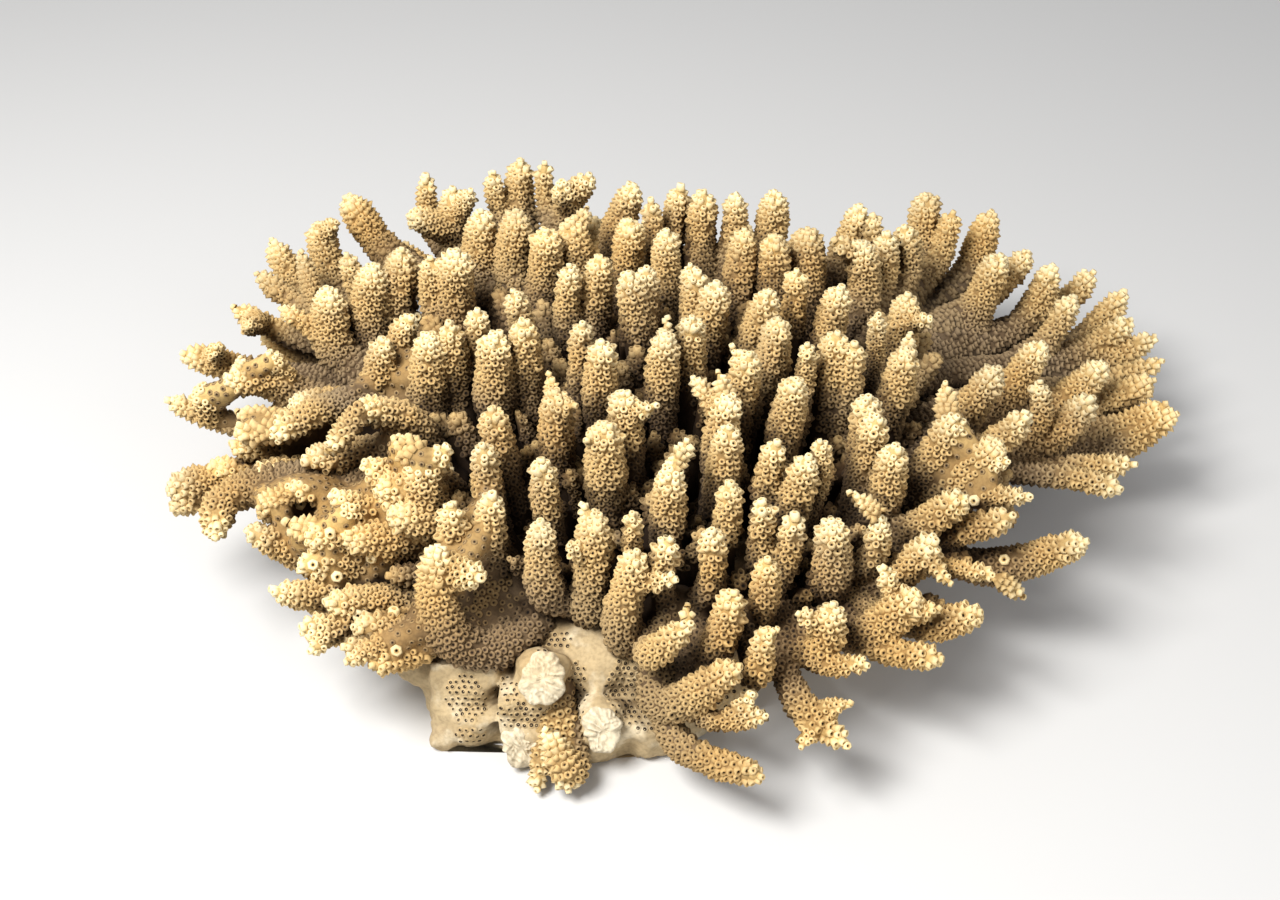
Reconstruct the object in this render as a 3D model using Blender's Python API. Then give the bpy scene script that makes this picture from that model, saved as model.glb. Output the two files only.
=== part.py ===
"""Table coral: a dry colony of knobbly finger branchlets on one encrusting foot that is cut off flat.

Each branchlet is placed from where its tip and a lower point of its axis are seen in the photograph.
The tips lie on one domed crown, so every sight line gives one place in space.
Frame: +X to the right as seen from the front, +Y away from the viewer, +Z up, the flat cut at Z = 0.
"""

import math

import bmesh
import bpy
from mathutils import Vector
from mathutils.bvhtree import BVHTree

MM = 0.001

# The photograph: frame in pixels, the camera's place worked out from the colony's real width
PHOTO_WIDTH = 1280
PHOTO_HEIGHT = 900
FIELD_OF_VIEW = math.radians(40)
CAMERA_ELEVATION = math.radians(40)
CAMERA_DISTANCE = 530 * MM
AIM_POINT = Vector((0, 0, 45 * MM))
AIM_PIXEL = (671, 475)

# The crown: the domed surface that the tips reach
CROWN_HEIGHT = 92 * MM
CROWN_MIDDLE = Vector((0, 25 * MM))
CROWN_FALL_SIDES = 1.75
CROWN_FALL_FRONT = 4.2
CROWN_FALL_BACK = 0.35
LOWEST_TIP = 8 * MM

# How a branchlet leans away from the viewer for each unit that it shows in the picture
LEAN_TOWARDS = -0.85
LEAN_AWAY = 1.2

# Branchlet thicknesses over the knobs
TWIG = 4.2 * MM
THIN = 6.2 * MM
SLIM = 8.2 * MM
STOUT = 10.4 * MM
THICK = 12.2 * MM
CORE = 0.88
KNOB_SWELL = 1.1
BEND_TO_SHOW = math.radians(25)
SIDES = 5
SPUR_LENGTH = 13 * MM

# The encrusting base: half widths at 16 bearings counter-clockwise from +X, one row a level
BASE_MIDDLE = Vector((-6 * MM, -4 * MM, 0))
CUT_REACH = (60, 61, 61, 59, 58, 56, 56, 56, 58, 67, 85, 75, 68, 57, 50, 54)
NECK_REACH = (70, 71, 71, 69, 68, 66, 66, 67, 70, 75, 87, 78, 71, 61, 57, 63)
NECK_HEIGHT = 13 * MM
SHELF_REACH = (87, 86, 84, 83, 82, 82, 84, 85, 86, 84, 79, 64, 57, 55, 64, 79)
SHELF_DEPTH = 10 * MM
SHELF_EDGE = 4 * MM
DISC_SHARE = 0.42
ROOT_RING = Vector((78 * MM, 64 * MM))
ROOT_MIDDLE = Vector((2 * MM, 12 * MM))
FOOT_RADIUS = 6.5 * MM

# Lumps that show on the front of the base, as (middle, half widths) in millimetres
BASE_LUMPS = {
    "left_block": ((-58, -60, 11), (14, 11, 13)),
    "middle_block": ((-42, -66, 9), (13, 10, 11)),
    "upper_stub": ((-36, -62, 25), (8, 7, 7)),
    "lower_stub": ((-21, -69, 13), (8, 7, 8)),
    "right_lobe": ((-7, -65, 7), (10, 8, 8)),
}
GAP = 0.3 * MM
SLACK = 0.3 * MM

# Each branch: its branchlets as (tip pixel, lower axis pixel, thickness), read off the photograph.
# Those that the photograph hides, behind and below, are (tip in millimetres, thickness).
BRANCHES = {
    "left_1": (
        ((163, 398), (228, 425), THIN),
        ((200, 388), (216, 410), SLIM),
        ((222, 376), (300, 392), SLIM),
        ((232, 434), (258, 440), THIN),
        ((234, 412), (262, 418), THIN),
        ((240, 352), (244, 366), TWIG),
        ((266, 349), (300, 372), TWIG),
        ((270, 437), (335, 405), SLIM),
        ((384, 335), (376, 385), SLIM),
        ((412, 314), (395, 350), SLIM),
        ((427, 331), (431, 440), STOUT),
        ((448, 320), (456, 400), SLIM),
    ),
    "left_2": (
        ((163, 490), (235, 478), STOUT),
        ((181, 468), (190, 485), TWIG),
        ((325, 457), (350, 438), THIN),
        ((356, 407), (402, 418), SLIM),
    ),
    "back_left_1": (
        ((343, 193), (385, 252), STOUT),
        ((406, 214), (425, 240), SLIM),
        ((425, 172), (430, 225), THIN),
        ((452, 185), (452, 245), SLIM),
        ((472, 187), (474, 228), TWIG),
        ((481, 208), (482, 278), STOUT),
        ((517, 208), (512, 282), STOUT),
        ((546, 226), (548, 350), STOUT),
        ((-98, 128, 44), STOUT),
    ),
    "back_left_2": (
        ((270, 238), (300, 290), SLIM),
        ((316, 219), (338, 295), STOUT),
        ((337, 218), (355, 235), TWIG),
        ((-128, 108, 36), STOUT),
        ((-118, 120, 30), STOUT),
    ),
    "back_left_3": (
        ((252, 270), (290, 300), THIN),
        ((300, 247), (314, 285), TWIG),
        ((345, 250), (360, 300), THIN),
        ((372, 262), (372, 345), THICK),
        ((402, 246), (401, 330), STOUT),
        ((430, 253), (431, 315), THIN),
        ((455, 248), (453, 325), THICK),
        ((-140, 85, 38), STOUT),
    ),
    "back_left_4": (
        ((178, 352), (250, 372), SLIM),
        ((215, 345), (222, 362), TWIG),
        ((230, 306), (275, 330), THIN),
        ((246, 328), (262, 334), TWIG),
        ((277, 305), (312, 348), TWIG),
        ((326, 286), (336, 355), THICK),
    ),
    "back_1": (
        ((703, 188), (702, 250), STOUT),
        ((736, 191), (735, 240), SLIM),
        ((745, 226), (735, 340), STOUT),
        ((775, 188), (771, 245), STOUT),
        ((28, 114, 62), STOUT),
        ((36, 132, 36), STOUT),
    ),
    "back_2": (
        ((10, 122, 48), STOUT),
    ),
    "back_3": (
        ((630, 216), (628, 290), STOUT),
        ((635, 182), (615, 245), STOUT),
        ((650, 195), (655, 240), THIN),
        ((681, 183), (672, 245), SLIM),
        ((-28, 124, 60), STOUT),
        ((-8, 116, 62), STOUT),
        ((-16, 132, 38), STOUT),
    ),
    "back_4": (
        ((492, 168), (498, 215), THIN),
        ((520, 157), (519, 220), STOUT),
        ((545, 158), (543, 195), THIN),
        ((559, 182), (560, 215), SLIM),
        ((567, 216), (585, 285), STOUT),
        ((590, 203), (588, 225), TWIG),
        ((592, 172), (562, 215), SLIM),
        ((-72, 134, 52), STOUT),
        ((-52, 132, 48), STOUT),
    ),
    "back_right_1": (
        ((1076, 294), (1042, 350), SLIM),
        ((1135, 318), (1092, 348), SLIM),
        ((1160, 335), (1100, 365), SLIM),
    ),
    "back_right_2": (
        ((1003, 252), (958, 345), STOUT),
        ((1032, 249), (1003, 285), SLIM),
        ((1055, 262), (1030, 322), STOUT),
        ((1097, 268), (1068, 302), SLIM),
        ((1128, 290), (1072, 350), SLIM),
        ((140, 98, 36), STOUT),
    ),
    "back_right_3": (
        ((830, 238), (845, 262), THIN),
        ((859, 239), (868, 292), STOUT),
        ((873, 212), (873, 250), THIN),
        ((888, 229), (885, 280), SLIM),
        ((903, 222), (912, 270), SLIM),
        ((926, 191), (921, 255), STOUT),
        ((941, 193), (936, 215), TWIG),
        ((955, 208), (936, 268), SLIM),
        ((993, 208), (968, 278), STOUT),
        ((122, 118, 42), STOUT),
    ),
    "back_right_4": (
        ((775, 232), (775, 290), STOUT),
        ((808, 225), (806, 300), THICK),
        ((861, 203), (850, 252), STOUT),
        ((50, 118, 56), STOUT),
        ((98, 128, 46), STOUT),
        ((68, 122, 48), STOUT),
        ((82, 134, 34), STOUT),
    ),
    "right_1": (
        ((1001, 366), (960, 430), STOUT),
        ((1030, 410), (1006, 440), SLIM),
        ((1040, 379), (1043, 430), THIN),
        ((1096, 395), (1050, 445), STOUT),
        ((1125, 491), (1075, 478), THIN),
        ((1140, 464), (1055, 470), THIN),
    ),
    "right_2": (
        ((1045, 340), (1005, 400), STOUT),
        ((1108, 362), (1062, 405), STOUT),
        ((1158, 378), (1102, 408), STOUT),
        ((1168, 360), (1125, 375), THIN),
        ((1170, 402), (1120, 425), THIN),
        ((1180, 412), (1095, 455), STOUT),
    ),
    "front_right_1": (
        ((832, 517), (835, 585), THICK),
        ((846, 489), (860, 500), TWIG),
        ((880, 516), (878, 558), SLIM),
        ((882, 562), (880, 585), THIN),
        ((922, 592), (862, 640), THICK),
        ((938, 537), (903, 580), STOUT),
        ((945, 660), (885, 652), SLIM),
        ((945, 607), (905, 620), THIN),
        ((955, 588), (938, 562), TWIG),
        ((985, 611), (935, 628), STOUT),
    ),
    "front_right_2": (
        ((868, 393), (870, 428), STOUT),
        ((877, 413), (870, 500), STOUT),
        ((895, 442), (890, 512), STOUT),
        ((970, 494), (905, 545), STOUT),
        ((996, 576), (952, 570), THIN),
        ((1018, 515), (962, 535), SLIM),
        ((1028, 602), (1026, 580), TWIG),
        ((1091, 540), (1000, 572), STOUT),
    ),
    "front_right_3": (
        ((945, 378), (936, 402), THIN),
        ((958, 414), (935, 468), STOUT),
        ((1003, 441), (972, 475), THICK),
        ((1012, 462), (985, 470), THIN),
        ((1035, 496), (985, 502), THIN),
    ),
    "front_1": (
        ((540, 520), (546, 600), STOUT),
        ((567, 545), (575, 575), THIN),
        ((578, 499), (590, 515), THIN),
        ((594, 512), (590, 610), THICK),
    ),
    "front_2": (
        ((636, 548), (628, 650), STOUT),
        ((672, 535), (660, 572), SLIM),
        ((680, 579), (652, 592), THIN),
        ((687, 600), (692, 618), TWIG),
        ((692, 622), (650, 660), SLIM),
        ((712, 526), (712, 592), SLIM),
        ((735, 590), (715, 655), STOUT),
        ((742, 665), (660, 712), STOUT),
        ((755, 690), (735, 705), TWIG),
        ((766, 780), (672, 745), SLIM),
        ((772, 717), (700, 722), THIN),
    ),
    "front_3": (
        ((762, 497), (765, 552), SLIM),
        ((765, 627), (759, 680), SLIM),
        ((768, 555), (765, 615), SLIM),
        ((780, 626), (792, 640), TWIG),
        ((795, 512), (792, 552), SLIM),
        ((797, 610), (812, 640), THIN),
        ((800, 752), (800, 725), TWIG),
        ((835, 602), (822, 655), STOUT),
        ((850, 748), (808, 715), SLIM),
        ((855, 702), (815, 705), TWIG),
        ((875, 664), (820, 668), THIN),
    ),
    "front_4": (
        ((-28, -84, 6), (-34, -62, 15), SLIM),
        ((-35, -82, 6), (-34, -62, 15), THIN),
    ),
    "front_left_1": (
        ((215, 541), (218, 500), STOUT),
        ((243, 528), (325, 568), SLIM),
        ((253, 510), (280, 490), TWIG),
        ((268, 592), (350, 600), SLIM),
        ((280, 520), (310, 538), THIN),
        ((285, 485), (320, 498), THIN),
        ((303, 535), (390, 545), SLIM),
        ((328, 494), (362, 512), SLIM),
        ((342, 514), (372, 530), THIN),
        ((360, 460), (410, 500), SLIM),
        ((392, 437), (412, 428), THIN),
        ((419, 456), (424, 500), STOUT),
        ((451, 444), (446, 472), THIN),
    ),
    "front_left_2": (
        ((297, 628), (390, 635), SLIM),
        ((308, 655), (340, 645), TWIG),
    ),
    "front_left_3": (
        ((340, 665), (385, 652), TWIG),
        ((438, 541), (442, 625), STOUT),
        ((450, 500), (453, 545), SLIM),
        ((482, 442), (487, 510), SLIM),
        ((485, 578), (488, 602), SLIM),
        ((492, 490), (488, 548), SLIM),
    ),
    "crown_1": (
        ((570, 262), (566, 330), SLIM),
        ((600, 253), (593, 335), STOUT),
    ),
    "crown_2": (
        ((667, 227), (665, 300), STOUT),
    ),
    "crown_3": (
        ((797, 267), (795, 335), SLIM),
    ),
    "crown_4": (
        ((478, 306), (475, 350), SLIM),
    ),
    "crown_5": (
        ((512, 286), (520, 325), SLIM),
    ),
    "crown_6": (
        ((475, 336), (465, 372), TWIG),
        ((495, 331), (493, 425), THICK),
        ((522, 318), (525, 405), STOUT),
    ),
    "crown_7": (
        ((582, 319), (580, 400), SLIM),
    ),
    "crown_8": (
        ((628, 270), (640, 345), STOUT),
        ((646, 264), (648, 330), SLIM),
    ),
    "crown_9": (
        ((692, 313), (690, 385), STOUT),
    ),
    "crown_10": (
        ((690, 260), (690, 300), THIN),
        ((699, 268), (694, 312), SLIM),
        ((717, 280), (711, 335), STOUT),
    ),
    "crown_11": (
        ((771, 288), (756, 342), STOUT),
    ),
    "crown_12": (
        ((779, 316), (773, 385), STOUT),
    ),
    "crown_13": (
        ((841, 284), (829, 345), STOUT),
    ),
    "crown_14": (
        ((877, 311), (880, 352), THIN),
    ),
    "crown_15": (
        ((908, 290), (905, 345), STOUT),
        ((934, 319), (930, 348), THIN),
    ),
    "crown_16": (
        ((490, 405), (497, 455), STOUT),
    ),
    "crown_17": (
        ((548, 368), (547, 400), TWIG),
        ((555, 388), (556, 475), STOUT),
        ((577, 404), (567, 425), TWIG),
    ),
    "crown_18": (
        ((602, 339), (599, 410), STOUT),
    ),
    "crown_19": (
        ((622, 388), (626, 445), STOUT),
        ((660, 405), (655, 430), THIN),
    ),
    "crown_20": (
        ((665, 331), (661, 425), STOUT),
        ((668, 313), (655, 335), THIN),
    ),
    "crown_21": (
        ((730, 341), (735, 362), TWIG),
        ((750, 350), (740, 412), STOUT),
    ),
    "crown_22": (
        ((797, 375), (786, 445), STOUT),
    ),
    "crown_23": (
        ((808, 339), (808, 380), THIN),
    ),
    "crown_24": (
        ((838, 329), (831, 405), STOUT),
        ((856, 339), (851, 405), SLIM),
    ),
    "crown_25": (
        ((909, 345), (895, 425), STOUT),
        ((912, 329), (905, 347), TWIG),
    ),
    "crown_26": (
        ((541, 457), (546, 525), SLIM),
    ),
    "crown_27": (
        ((580, 436), (590, 452), TWIG),
        ((604, 420), (606, 515), THICK),
    ),
    "crown_28": (
        ((632, 508), (632, 548), THIN),
    ),
    "crown_29": (
        ((671, 467), (668, 545), STOUT),
        ((672, 455), (633, 475), TWIG),
        ((690, 436), (690, 460), THIN),
    ),
    "crown_30": (
        ((731, 480), (728, 548), SLIM),
    ),
    "crown_31": (
        ((690, 371), (690, 400), THIN),
        ((717, 366), (722, 385), TWIG),
        ((730, 395), (722, 440), STOUT),
        ((730, 422), (723, 505), STOUT),
    ),
    "crown_32": (
        ((778, 438), (768, 498), SLIM),
        ((810, 454), (795, 512), STOUT),
        ((820, 436), (825, 480), THIN),
    ),
}


def sight_line(u, v):
    """The camera's place and the direction in which it sees one pixel of the photograph."""
    focal = PHOTO_WIDTH / 2 / math.tan(FIELD_OF_VIEW / 2)
    forward, right, up = camera_axes()
    aim_across = (AIM_PIXEL[0] - PHOTO_WIDTH / 2) / focal
    aim_up = (PHOTO_HEIGHT / 2 - AIM_PIXEL[1]) / focal
    camera = AIM_POINT - (forward + right * aim_across + up * aim_up) * CAMERA_DISTANCE
    across = (u - PHOTO_WIDTH / 2) / focal
    rise = (PHOTO_HEIGHT / 2 - v) / focal
    return camera, (forward + right * across + up * rise).normalized()


def camera_axes():
    """The camera's forward, right and up directions."""
    forward = Vector((0, math.cos(CAMERA_ELEVATION), -math.sin(CAMERA_ELEVATION)))
    right = Vector((1, 0, 0))
    return forward, right, right.cross(forward)


def crown_height(x, y):
    """Height of the crown over one place."""
    away = y - CROWN_MIDDLE.y
    fall = CROWN_FALL_FRONT if away < 0 else CROWN_FALL_BACK
    return CROWN_HEIGHT - CROWN_FALL_SIDES * (x - CROWN_MIDDLE.x) ** 2 - fall * away**2


def tip_place(u, v):
    """Where the sight line through one pixel first meets the crown, or passes closest over it."""
    camera, direction = sight_line(u, v)
    closest = None
    smallest = None
    reach = 0.3
    while reach < 0.9:
        point = camera + direction * reach
        over = point.z - max(crown_height(point.x, point.y), LOWEST_TIP)
        if over <= 0:
            return point
        if smallest is None or over < smallest:
            smallest = over
            closest = point
        reach += 0.5 * MM
    return closest


def seen_axis(tip, tip_pixel, toe_pixel):
    """The branchlet's lower axis point: exact in the picture, and in depth as a branchlet there grows."""
    focal = PHOTO_WIDTH / 2 / math.tan(FIELD_OF_VIEW / 2)
    forward, right, up = camera_axes()
    camera, _ = sight_line(*tip_pixel)
    across = tip_pixel[0] - toe_pixel[0]
    rise = toe_pixel[1] - tip_pixel[1]
    shown = math.hypot(across, rise)
    in_picture = (right * across + up * rise) / shown
    share = 0.5 if tip.y > CROWN_MIDDLE.y else 0.4
    growth = Vector((tip.x, share * (tip.y - CROWN_MIDDLE.y), 2.5 * tip.z))
    along = growth.dot(in_picture)
    lean = growth.dot(forward) / along if along > 0 else LEAN_TOWARDS
    lean = min(max(lean, LEAN_TOWARDS), LEAN_AWAY)
    distance = (tip - camera).dot(forward)
    return tip - (in_picture + forward * lean) * (shown / focal * distance)


def hidden_axis(tip):
    """The lower axis point of a branchlet that the photograph doesn't show."""
    growth = Vector((tip.x, 0.9 * (tip.y - CROWN_MIDDLE.y), 1.1 * tip.z))
    return tip - growth.normalized() * 30 * MM


def disc_height(x, y):
    """Height of the base's disc, from which the branchlets rise."""
    return DISC_SHARE * crown_height(x, y)


def root_place(toe):
    """Where a branchlet joins the disc: straight under its toe, or at the rim of the root ring."""
    offset = Vector((toe.x, toe.y)) - ROOT_MIDDLE
    out = math.hypot(offset.x / ROOT_RING.x, offset.y / ROOT_RING.y)
    pulled = ROOT_MIDDLE + offset * min(0.95, 0.9 / max(out, 0.001))
    return Vector((pulled.x, pulled.y, disc_height(pulled.x, pulled.y)))


def read_branch(rows):
    """The branch's branchlets as (path from the tip down, radius), its short spurs last."""
    long_ones = []
    spurs = []
    for row in rows:
        if row[-1] == TWIG:
            continue
        radius = row[-1] / 2
        if len(row[0]) == 3 and len(row) == 3:
            long_ones.append(([Vector(row[0]) * MM, Vector(row[1]) * MM], radius))
            continue
        hidden = len(row[0]) == 3
        tip = Vector(row[0]) * MM if hidden else tip_place(*row[0])
        toe = hidden_axis(tip) if hidden else seen_axis(tip, row[0], row[1])
        if (tip - toe).length < SPUR_LENGTH:
            spurs.append(([tip, toe], radius))
        else:
            long_ones.append(([tip, toe, root_place(toe)], radius))
    for path, radius in spurs:
        path[-1] = nearest_on(path[-1], [other for other, _ in long_ones])
    return long_ones, spurs


def nearest_on(point, paths):
    """The point of these paths nearest to a place."""
    best = None
    for path in paths:
        for start, end in zip(path, path[1:]):
            for step in range(9):
                candidate = start.lerp(end, step / 8)
                if best is None or (candidate - point).length < (best - point).length:
                    best = candidate
    return best


def along_path(path, distance):
    """The point at one distance down a path."""
    for start, end in zip(path, path[1:]):
        length = (end - start).length
        if distance <= length or end is path[-1]:
            return start.lerp(end, min(distance / length, 1))
        distance -= length


def add_tube(mesh, path, radius, grow):
    """A closed branchlet: pointed dome at the tip, sides swollen in turn, flat at the root."""
    total = sum((end - start).length for start, end in zip(path, path[1:]))
    stations = [(0.45 * radius, 0.72), (0.38 * total, 1.0), (total, 1.06)]
    if len(path) > 2:
        first = (path[1] - path[0]).length
        bend = (path[1] - path[0]).angle(path[2] - path[1])
        stations[1] = (min(max(first, 0.35 * total), 0.75 * total), 1.0)
        if bend > BEND_TO_SHOW:
            stations.insert(1, (0.45 * stations[1][0], 1.0))
    rings = []
    side = None
    for number, (distance, share) in enumerate(stations):
        centre = along_path(path, distance)
        above = along_path(path, max(distance - radius, 0))
        below = along_path(path, min(distance + radius, total))
        direction = (below - above).normalized()
        if number == len(stations) - 1:
            centre = centre + direction * grow
        if side is None:
            side = direction.orthogonal()
        side = (side - direction * side.dot(direction)).normalized()
        other = direction.cross(side)
        ring = []
        for corner in range(SIDES):
            angle = 2 * math.pi * (corner + 0.5 * (number % 2)) / SIDES
            reach = CORE * radius * share * KNOB_SWELL + grow
            ring.append(mesh.verts.new(centre + (side * math.cos(angle) + other * math.sin(angle)) * reach))
        rings.append(ring)
    apex = mesh.verts.new(path[0] - (path[1] - path[0]).normalized() * grow)
    for corner in range(SIDES):
        after = (corner + 1) % SIDES
        mesh.faces.new((apex, rings[0][after], rings[0][corner]))
    for number, (upper, lower) in enumerate(zip(rings, rings[1:])):
        for corner in range(SIDES):
            after = (corner + 1) % SIDES
            if number % 2:
                mesh.faces.new((upper[corner], upper[after], lower[after]))
                mesh.faces.new((upper[corner], lower[after], lower[corner]))
            else:
                mesh.faces.new((upper[corner], upper[after], lower[corner]))
                mesh.faces.new((upper[after], lower[after], lower[corner]))
    mesh.faces.new(rings[-1])


def add_foot(mesh, centre, radius, grow):
    """The lump in which a branch's branchlets meet."""
    made = bmesh.ops.create_icosphere(mesh, subdivisions=1, radius=radius + grow)
    for vert in made["verts"]:
        vert.co.z *= 0.8
        vert.co += centre


def new_object(name, mesh):
    """A mesh object from bmesh data, with its normals outward."""
    bmesh.ops.recalc_face_normals(mesh, faces=mesh.faces)
    data = bpy.data.meshes.new(name)
    mesh.to_mesh(data)
    mesh.free()
    made = bpy.data.objects.new(name, data)
    bpy.context.scene.collection.objects.link(made)
    return made


def combine(target, tool, operation):
    """Joins the tool to the target, or cuts it away, and removes the tool."""
    modifier = target.modifiers.new(operation, "BOOLEAN")
    modifier.operation = operation
    modifier.solver = "EXACT"
    modifier.object = tool
    graph = bpy.context.evaluated_depsgraph_get()
    result = bpy.data.meshes.new_from_object(target.evaluated_get(graph))
    target.modifiers.remove(modifier)
    old = target.data
    target.data = result
    bpy.data.meshes.remove(old)


def drop(tool):
    """Removes a used tool."""
    data = tool.data
    bpy.data.objects.remove(tool)
    bpy.data.meshes.remove(data)


def make_branch(name, rows, grow):
    """One branch: its branchlets and spurs fused with the foot in which they meet."""
    long_ones, spurs = read_branch(rows)
    middle = sum((path[-1] for path, _ in long_ones), Vector()) / len(long_ones)
    spread = max((path[-1] - middle).length for path, _ in long_ones)
    tubes = []
    for path, radius in long_ones:
        root = path[-1].lerp(middle, 0.5) + Vector((0, 0, 2 * MM))
        tubes.append(([*path[:-1], root], radius))
    branch = None
    for path, radius in tubes + spurs:
        mesh = bmesh.new()
        add_tube(mesh, path, radius, grow)
        piece = new_object("piece", mesh)
        if branch is None:
            branch = piece
            branch.name = name
            continue
        combine(branch, piece, "UNION")
        drop(piece)
    if len(long_ones) > 1:
        mesh = bmesh.new()
        add_foot(mesh, middle + Vector((0, 0, 3 * MM)), max(FOOT_RADIUS, 0.75 * spread), grow)
        foot = new_object("foot", mesh)
        combine(branch, foot, "UNION")
        drop(foot)
    return branch


def base_ring(mesh, reaches, share, height):
    """One level of the base: a ring at a share of its reaches, at a height or just over the disc."""
    ring = []
    for number, reach in enumerate(reaches):
        angle = 2 * math.pi * number / len(reaches)
        out = share * reach * MM
        place = BASE_MIDDLE + Vector((math.cos(angle) * out, math.sin(angle) * out, 0))
        place.z = height if height >= 0 else disc_height(place.x, place.y) + height
        ring.append(mesh.verts.new(place))
    return ring


def base_body(grow):
    """The encrusting base without its lumps: flat cut, neck, shelf and a low disc over them."""
    mesh = bmesh.new()
    rings = [
        base_ring(mesh, CUT_REACH, 1.0, 0),
        base_ring(mesh, CUT_REACH, 1.03, 3 * MM),
        base_ring(mesh, NECK_REACH, 1.0, NECK_HEIGHT),
        base_ring(mesh, SHELF_REACH, 0.97, -SHELF_DEPTH),
        base_ring(mesh, SHELF_REACH, 1.0, -SHELF_EDGE),
        base_ring(mesh, SHELF_REACH, 0.93, -0.1 * MM),
        base_ring(mesh, SHELF_REACH, 0.62, -0.1 * MM),
        base_ring(mesh, SHELF_REACH, 0.3, -0.1 * MM),
    ]
    count = len(SHELF_REACH)
    for lower, upper in zip(rings, rings[1:]):
        for number in range(count):
            after = (number + 1) % count
            mesh.faces.new((lower[number], lower[after], upper[after], upper[number]))
    mesh.faces.new(rings[0])
    top = mesh.verts.new(BASE_MIDDLE + Vector((0, 0, disc_height(BASE_MIDDLE.x, BASE_MIDDLE.y))))
    for number in range(count):
        mesh.faces.new((rings[-1][number], rings[-1][(number + 1) % count], top))
    bmesh.ops.recalc_face_normals(mesh, faces=mesh.faces)
    bmesh.ops.triangulate(mesh, faces=mesh.faces[:])
    mesh.normal_update()
    moved = [vert.co + vert.normal * grow * vert.calc_shell_factor() for vert in mesh.verts]
    for vert, place in zip(mesh.verts, moved):
        vert.co = place
    return new_object("body", mesh)


def base_lump(middle, half, grow):
    """One lump on the front of the base, kept off the table."""
    mesh = bmesh.new()
    made = bmesh.ops.create_icosphere(mesh, subdivisions=2, radius=1)
    for vert in made["verts"]:
        place = [(vert.co[i] * half[i] + middle[i]) * MM + vert.co[i] * grow for i in range(3)]
        vert.co = (place[0], place[1], max(place[2], 0.5 * MM - grow))
    return new_object("lump", mesh)


def base_pieces(grow):
    """The base's body and lumps as separate objects, swollen by a distance."""
    return [base_body(grow)] + [base_lump(middle, half, grow) for middle, half in BASE_LUMPS.values()]


def simplify(made):
    """Merges the slivers that fusing leaves, as far as the branch stays closed and clear of itself."""
    if len(made.data.polygons) < 100:
        return
    for share in (0.52, 0.6, 0.68, 0.76, 0.88):
        modifier = made.modifiers.new("simplify", "DECIMATE")
        modifier.ratio = share
        graph = bpy.context.evaluated_depsgraph_get()
        result = bpy.data.meshes.new_from_object(made.evaluated_get(graph))
        made.modifiers.remove(modifier)
        if is_sound(result):
            old = made.data
            made.data = result
            bpy.data.meshes.remove(old)
            return
        bpy.data.meshes.remove(result)


def is_sound(data):
    """Whether a mesh is closed and no face of it crosses another."""
    mesh = bmesh.new()
    mesh.from_mesh(data)
    bmesh.ops.triangulate(mesh, faces=mesh.faces)
    mesh.faces.ensure_lookup_table()
    closed = all(len(edge.link_faces) == 2 for edge in mesh.edges)
    tree = BVHTree.FromBMesh(mesh)
    crossed = False
    for first, second in tree.overlap(tree):
        if not set(mesh.faces[first].verts) & set(mesh.faces[second].verts):
            crossed = True
            break
    mesh.free()
    return closed and not crossed


def surface_tree(made):
    """A tree of the object's faces, for finding what it meets."""
    mesh = bmesh.new()
    mesh.from_mesh(made.data)
    tree = BVHTree.FromBMesh(mesh)
    mesh.free()
    return tree


def keep_largest(made):
    """Keeps the largest body where a cut has split a branch."""
    mesh = bmesh.new()
    mesh.from_mesh(made.data)
    left = set(mesh.verts)
    bodies = []
    while left:
        body = set()
        edge = [left.pop()]
        while edge:
            vert = edge.pop()
            body.add(vert)
            for link in vert.link_edges:
                other = link.other_vert(vert)
                if other in left:
                    left.remove(other)
                    edge.append(other)
        bodies.append(body)
    bodies.sort(key=len, reverse=True)
    for body in bodies[1:]:
        bmesh.ops.delete(mesh, geom=list(body), context="VERTS")
    mesh.to_mesh(made.data)
    mesh.free()
    return len(bodies) - 1


def stone_material():
    """Pale dry coral stone."""
    material = bpy.data.materials.new("coral_stone")
    material.use_nodes = True
    shader = material.node_tree.nodes["Principled BSDF"]
    shader.inputs["Base Color"].default_value = (0.62, 0.48, 0.30, 1)
    shader.inputs["Roughness"].default_value = 0.9
    return material


def build():
    """The base and its branches, each clear of the others by the gap."""
    for old in list(bpy.data.objects):
        bpy.data.objects.remove(old)
    material = stone_material()
    base, *lumps = base_pieces(0)
    base.name = "base"
    for lump in lumps:
        combine(base, lump, "UNION")
        drop(lump)
    base_cutters = base_pieces(GAP)
    base_tree = surface_tree(base)
    done = []
    for name, rows in BRANCHES.items():
        branch = make_branch(name, rows, 0)
        simplify(branch)
        tree = surface_tree(branch)
        for earlier, earlier_tree in done:
            if not tree.overlap(earlier_tree):
                continue
            cutter = make_branch("cutter", BRANCHES[earlier], GAP + SLACK)
            combine(branch, cutter, "DIFFERENCE")
            drop(cutter)
        if tree.overlap(base_tree):
            for cutter in base_cutters:
                combine(branch, cutter, "DIFFERENCE")
        lost = keep_largest(branch)
        if lost:
            print(name, "lost loose bodies:", lost)
        done.append((name, tree))
    for cutter in base_cutters:
        drop(cutter)
    for made in bpy.data.objects:
        made.data.materials.clear()
        made.data.materials.append(material)


build()
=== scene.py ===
# %% [markdown]
# This lesson dresses a table coral: a dry colony of stubby fingers that rise from one encrusting
# foot. A fixed frame with the colony's solids is loaded first, in metres, and every piece that is
# made here stands for one of its nodes.

# %% Load the frame
import math
import random

import bpy
import numpy as np
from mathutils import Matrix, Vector, noise
from mathutils.bvhtree import BVHTree


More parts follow.
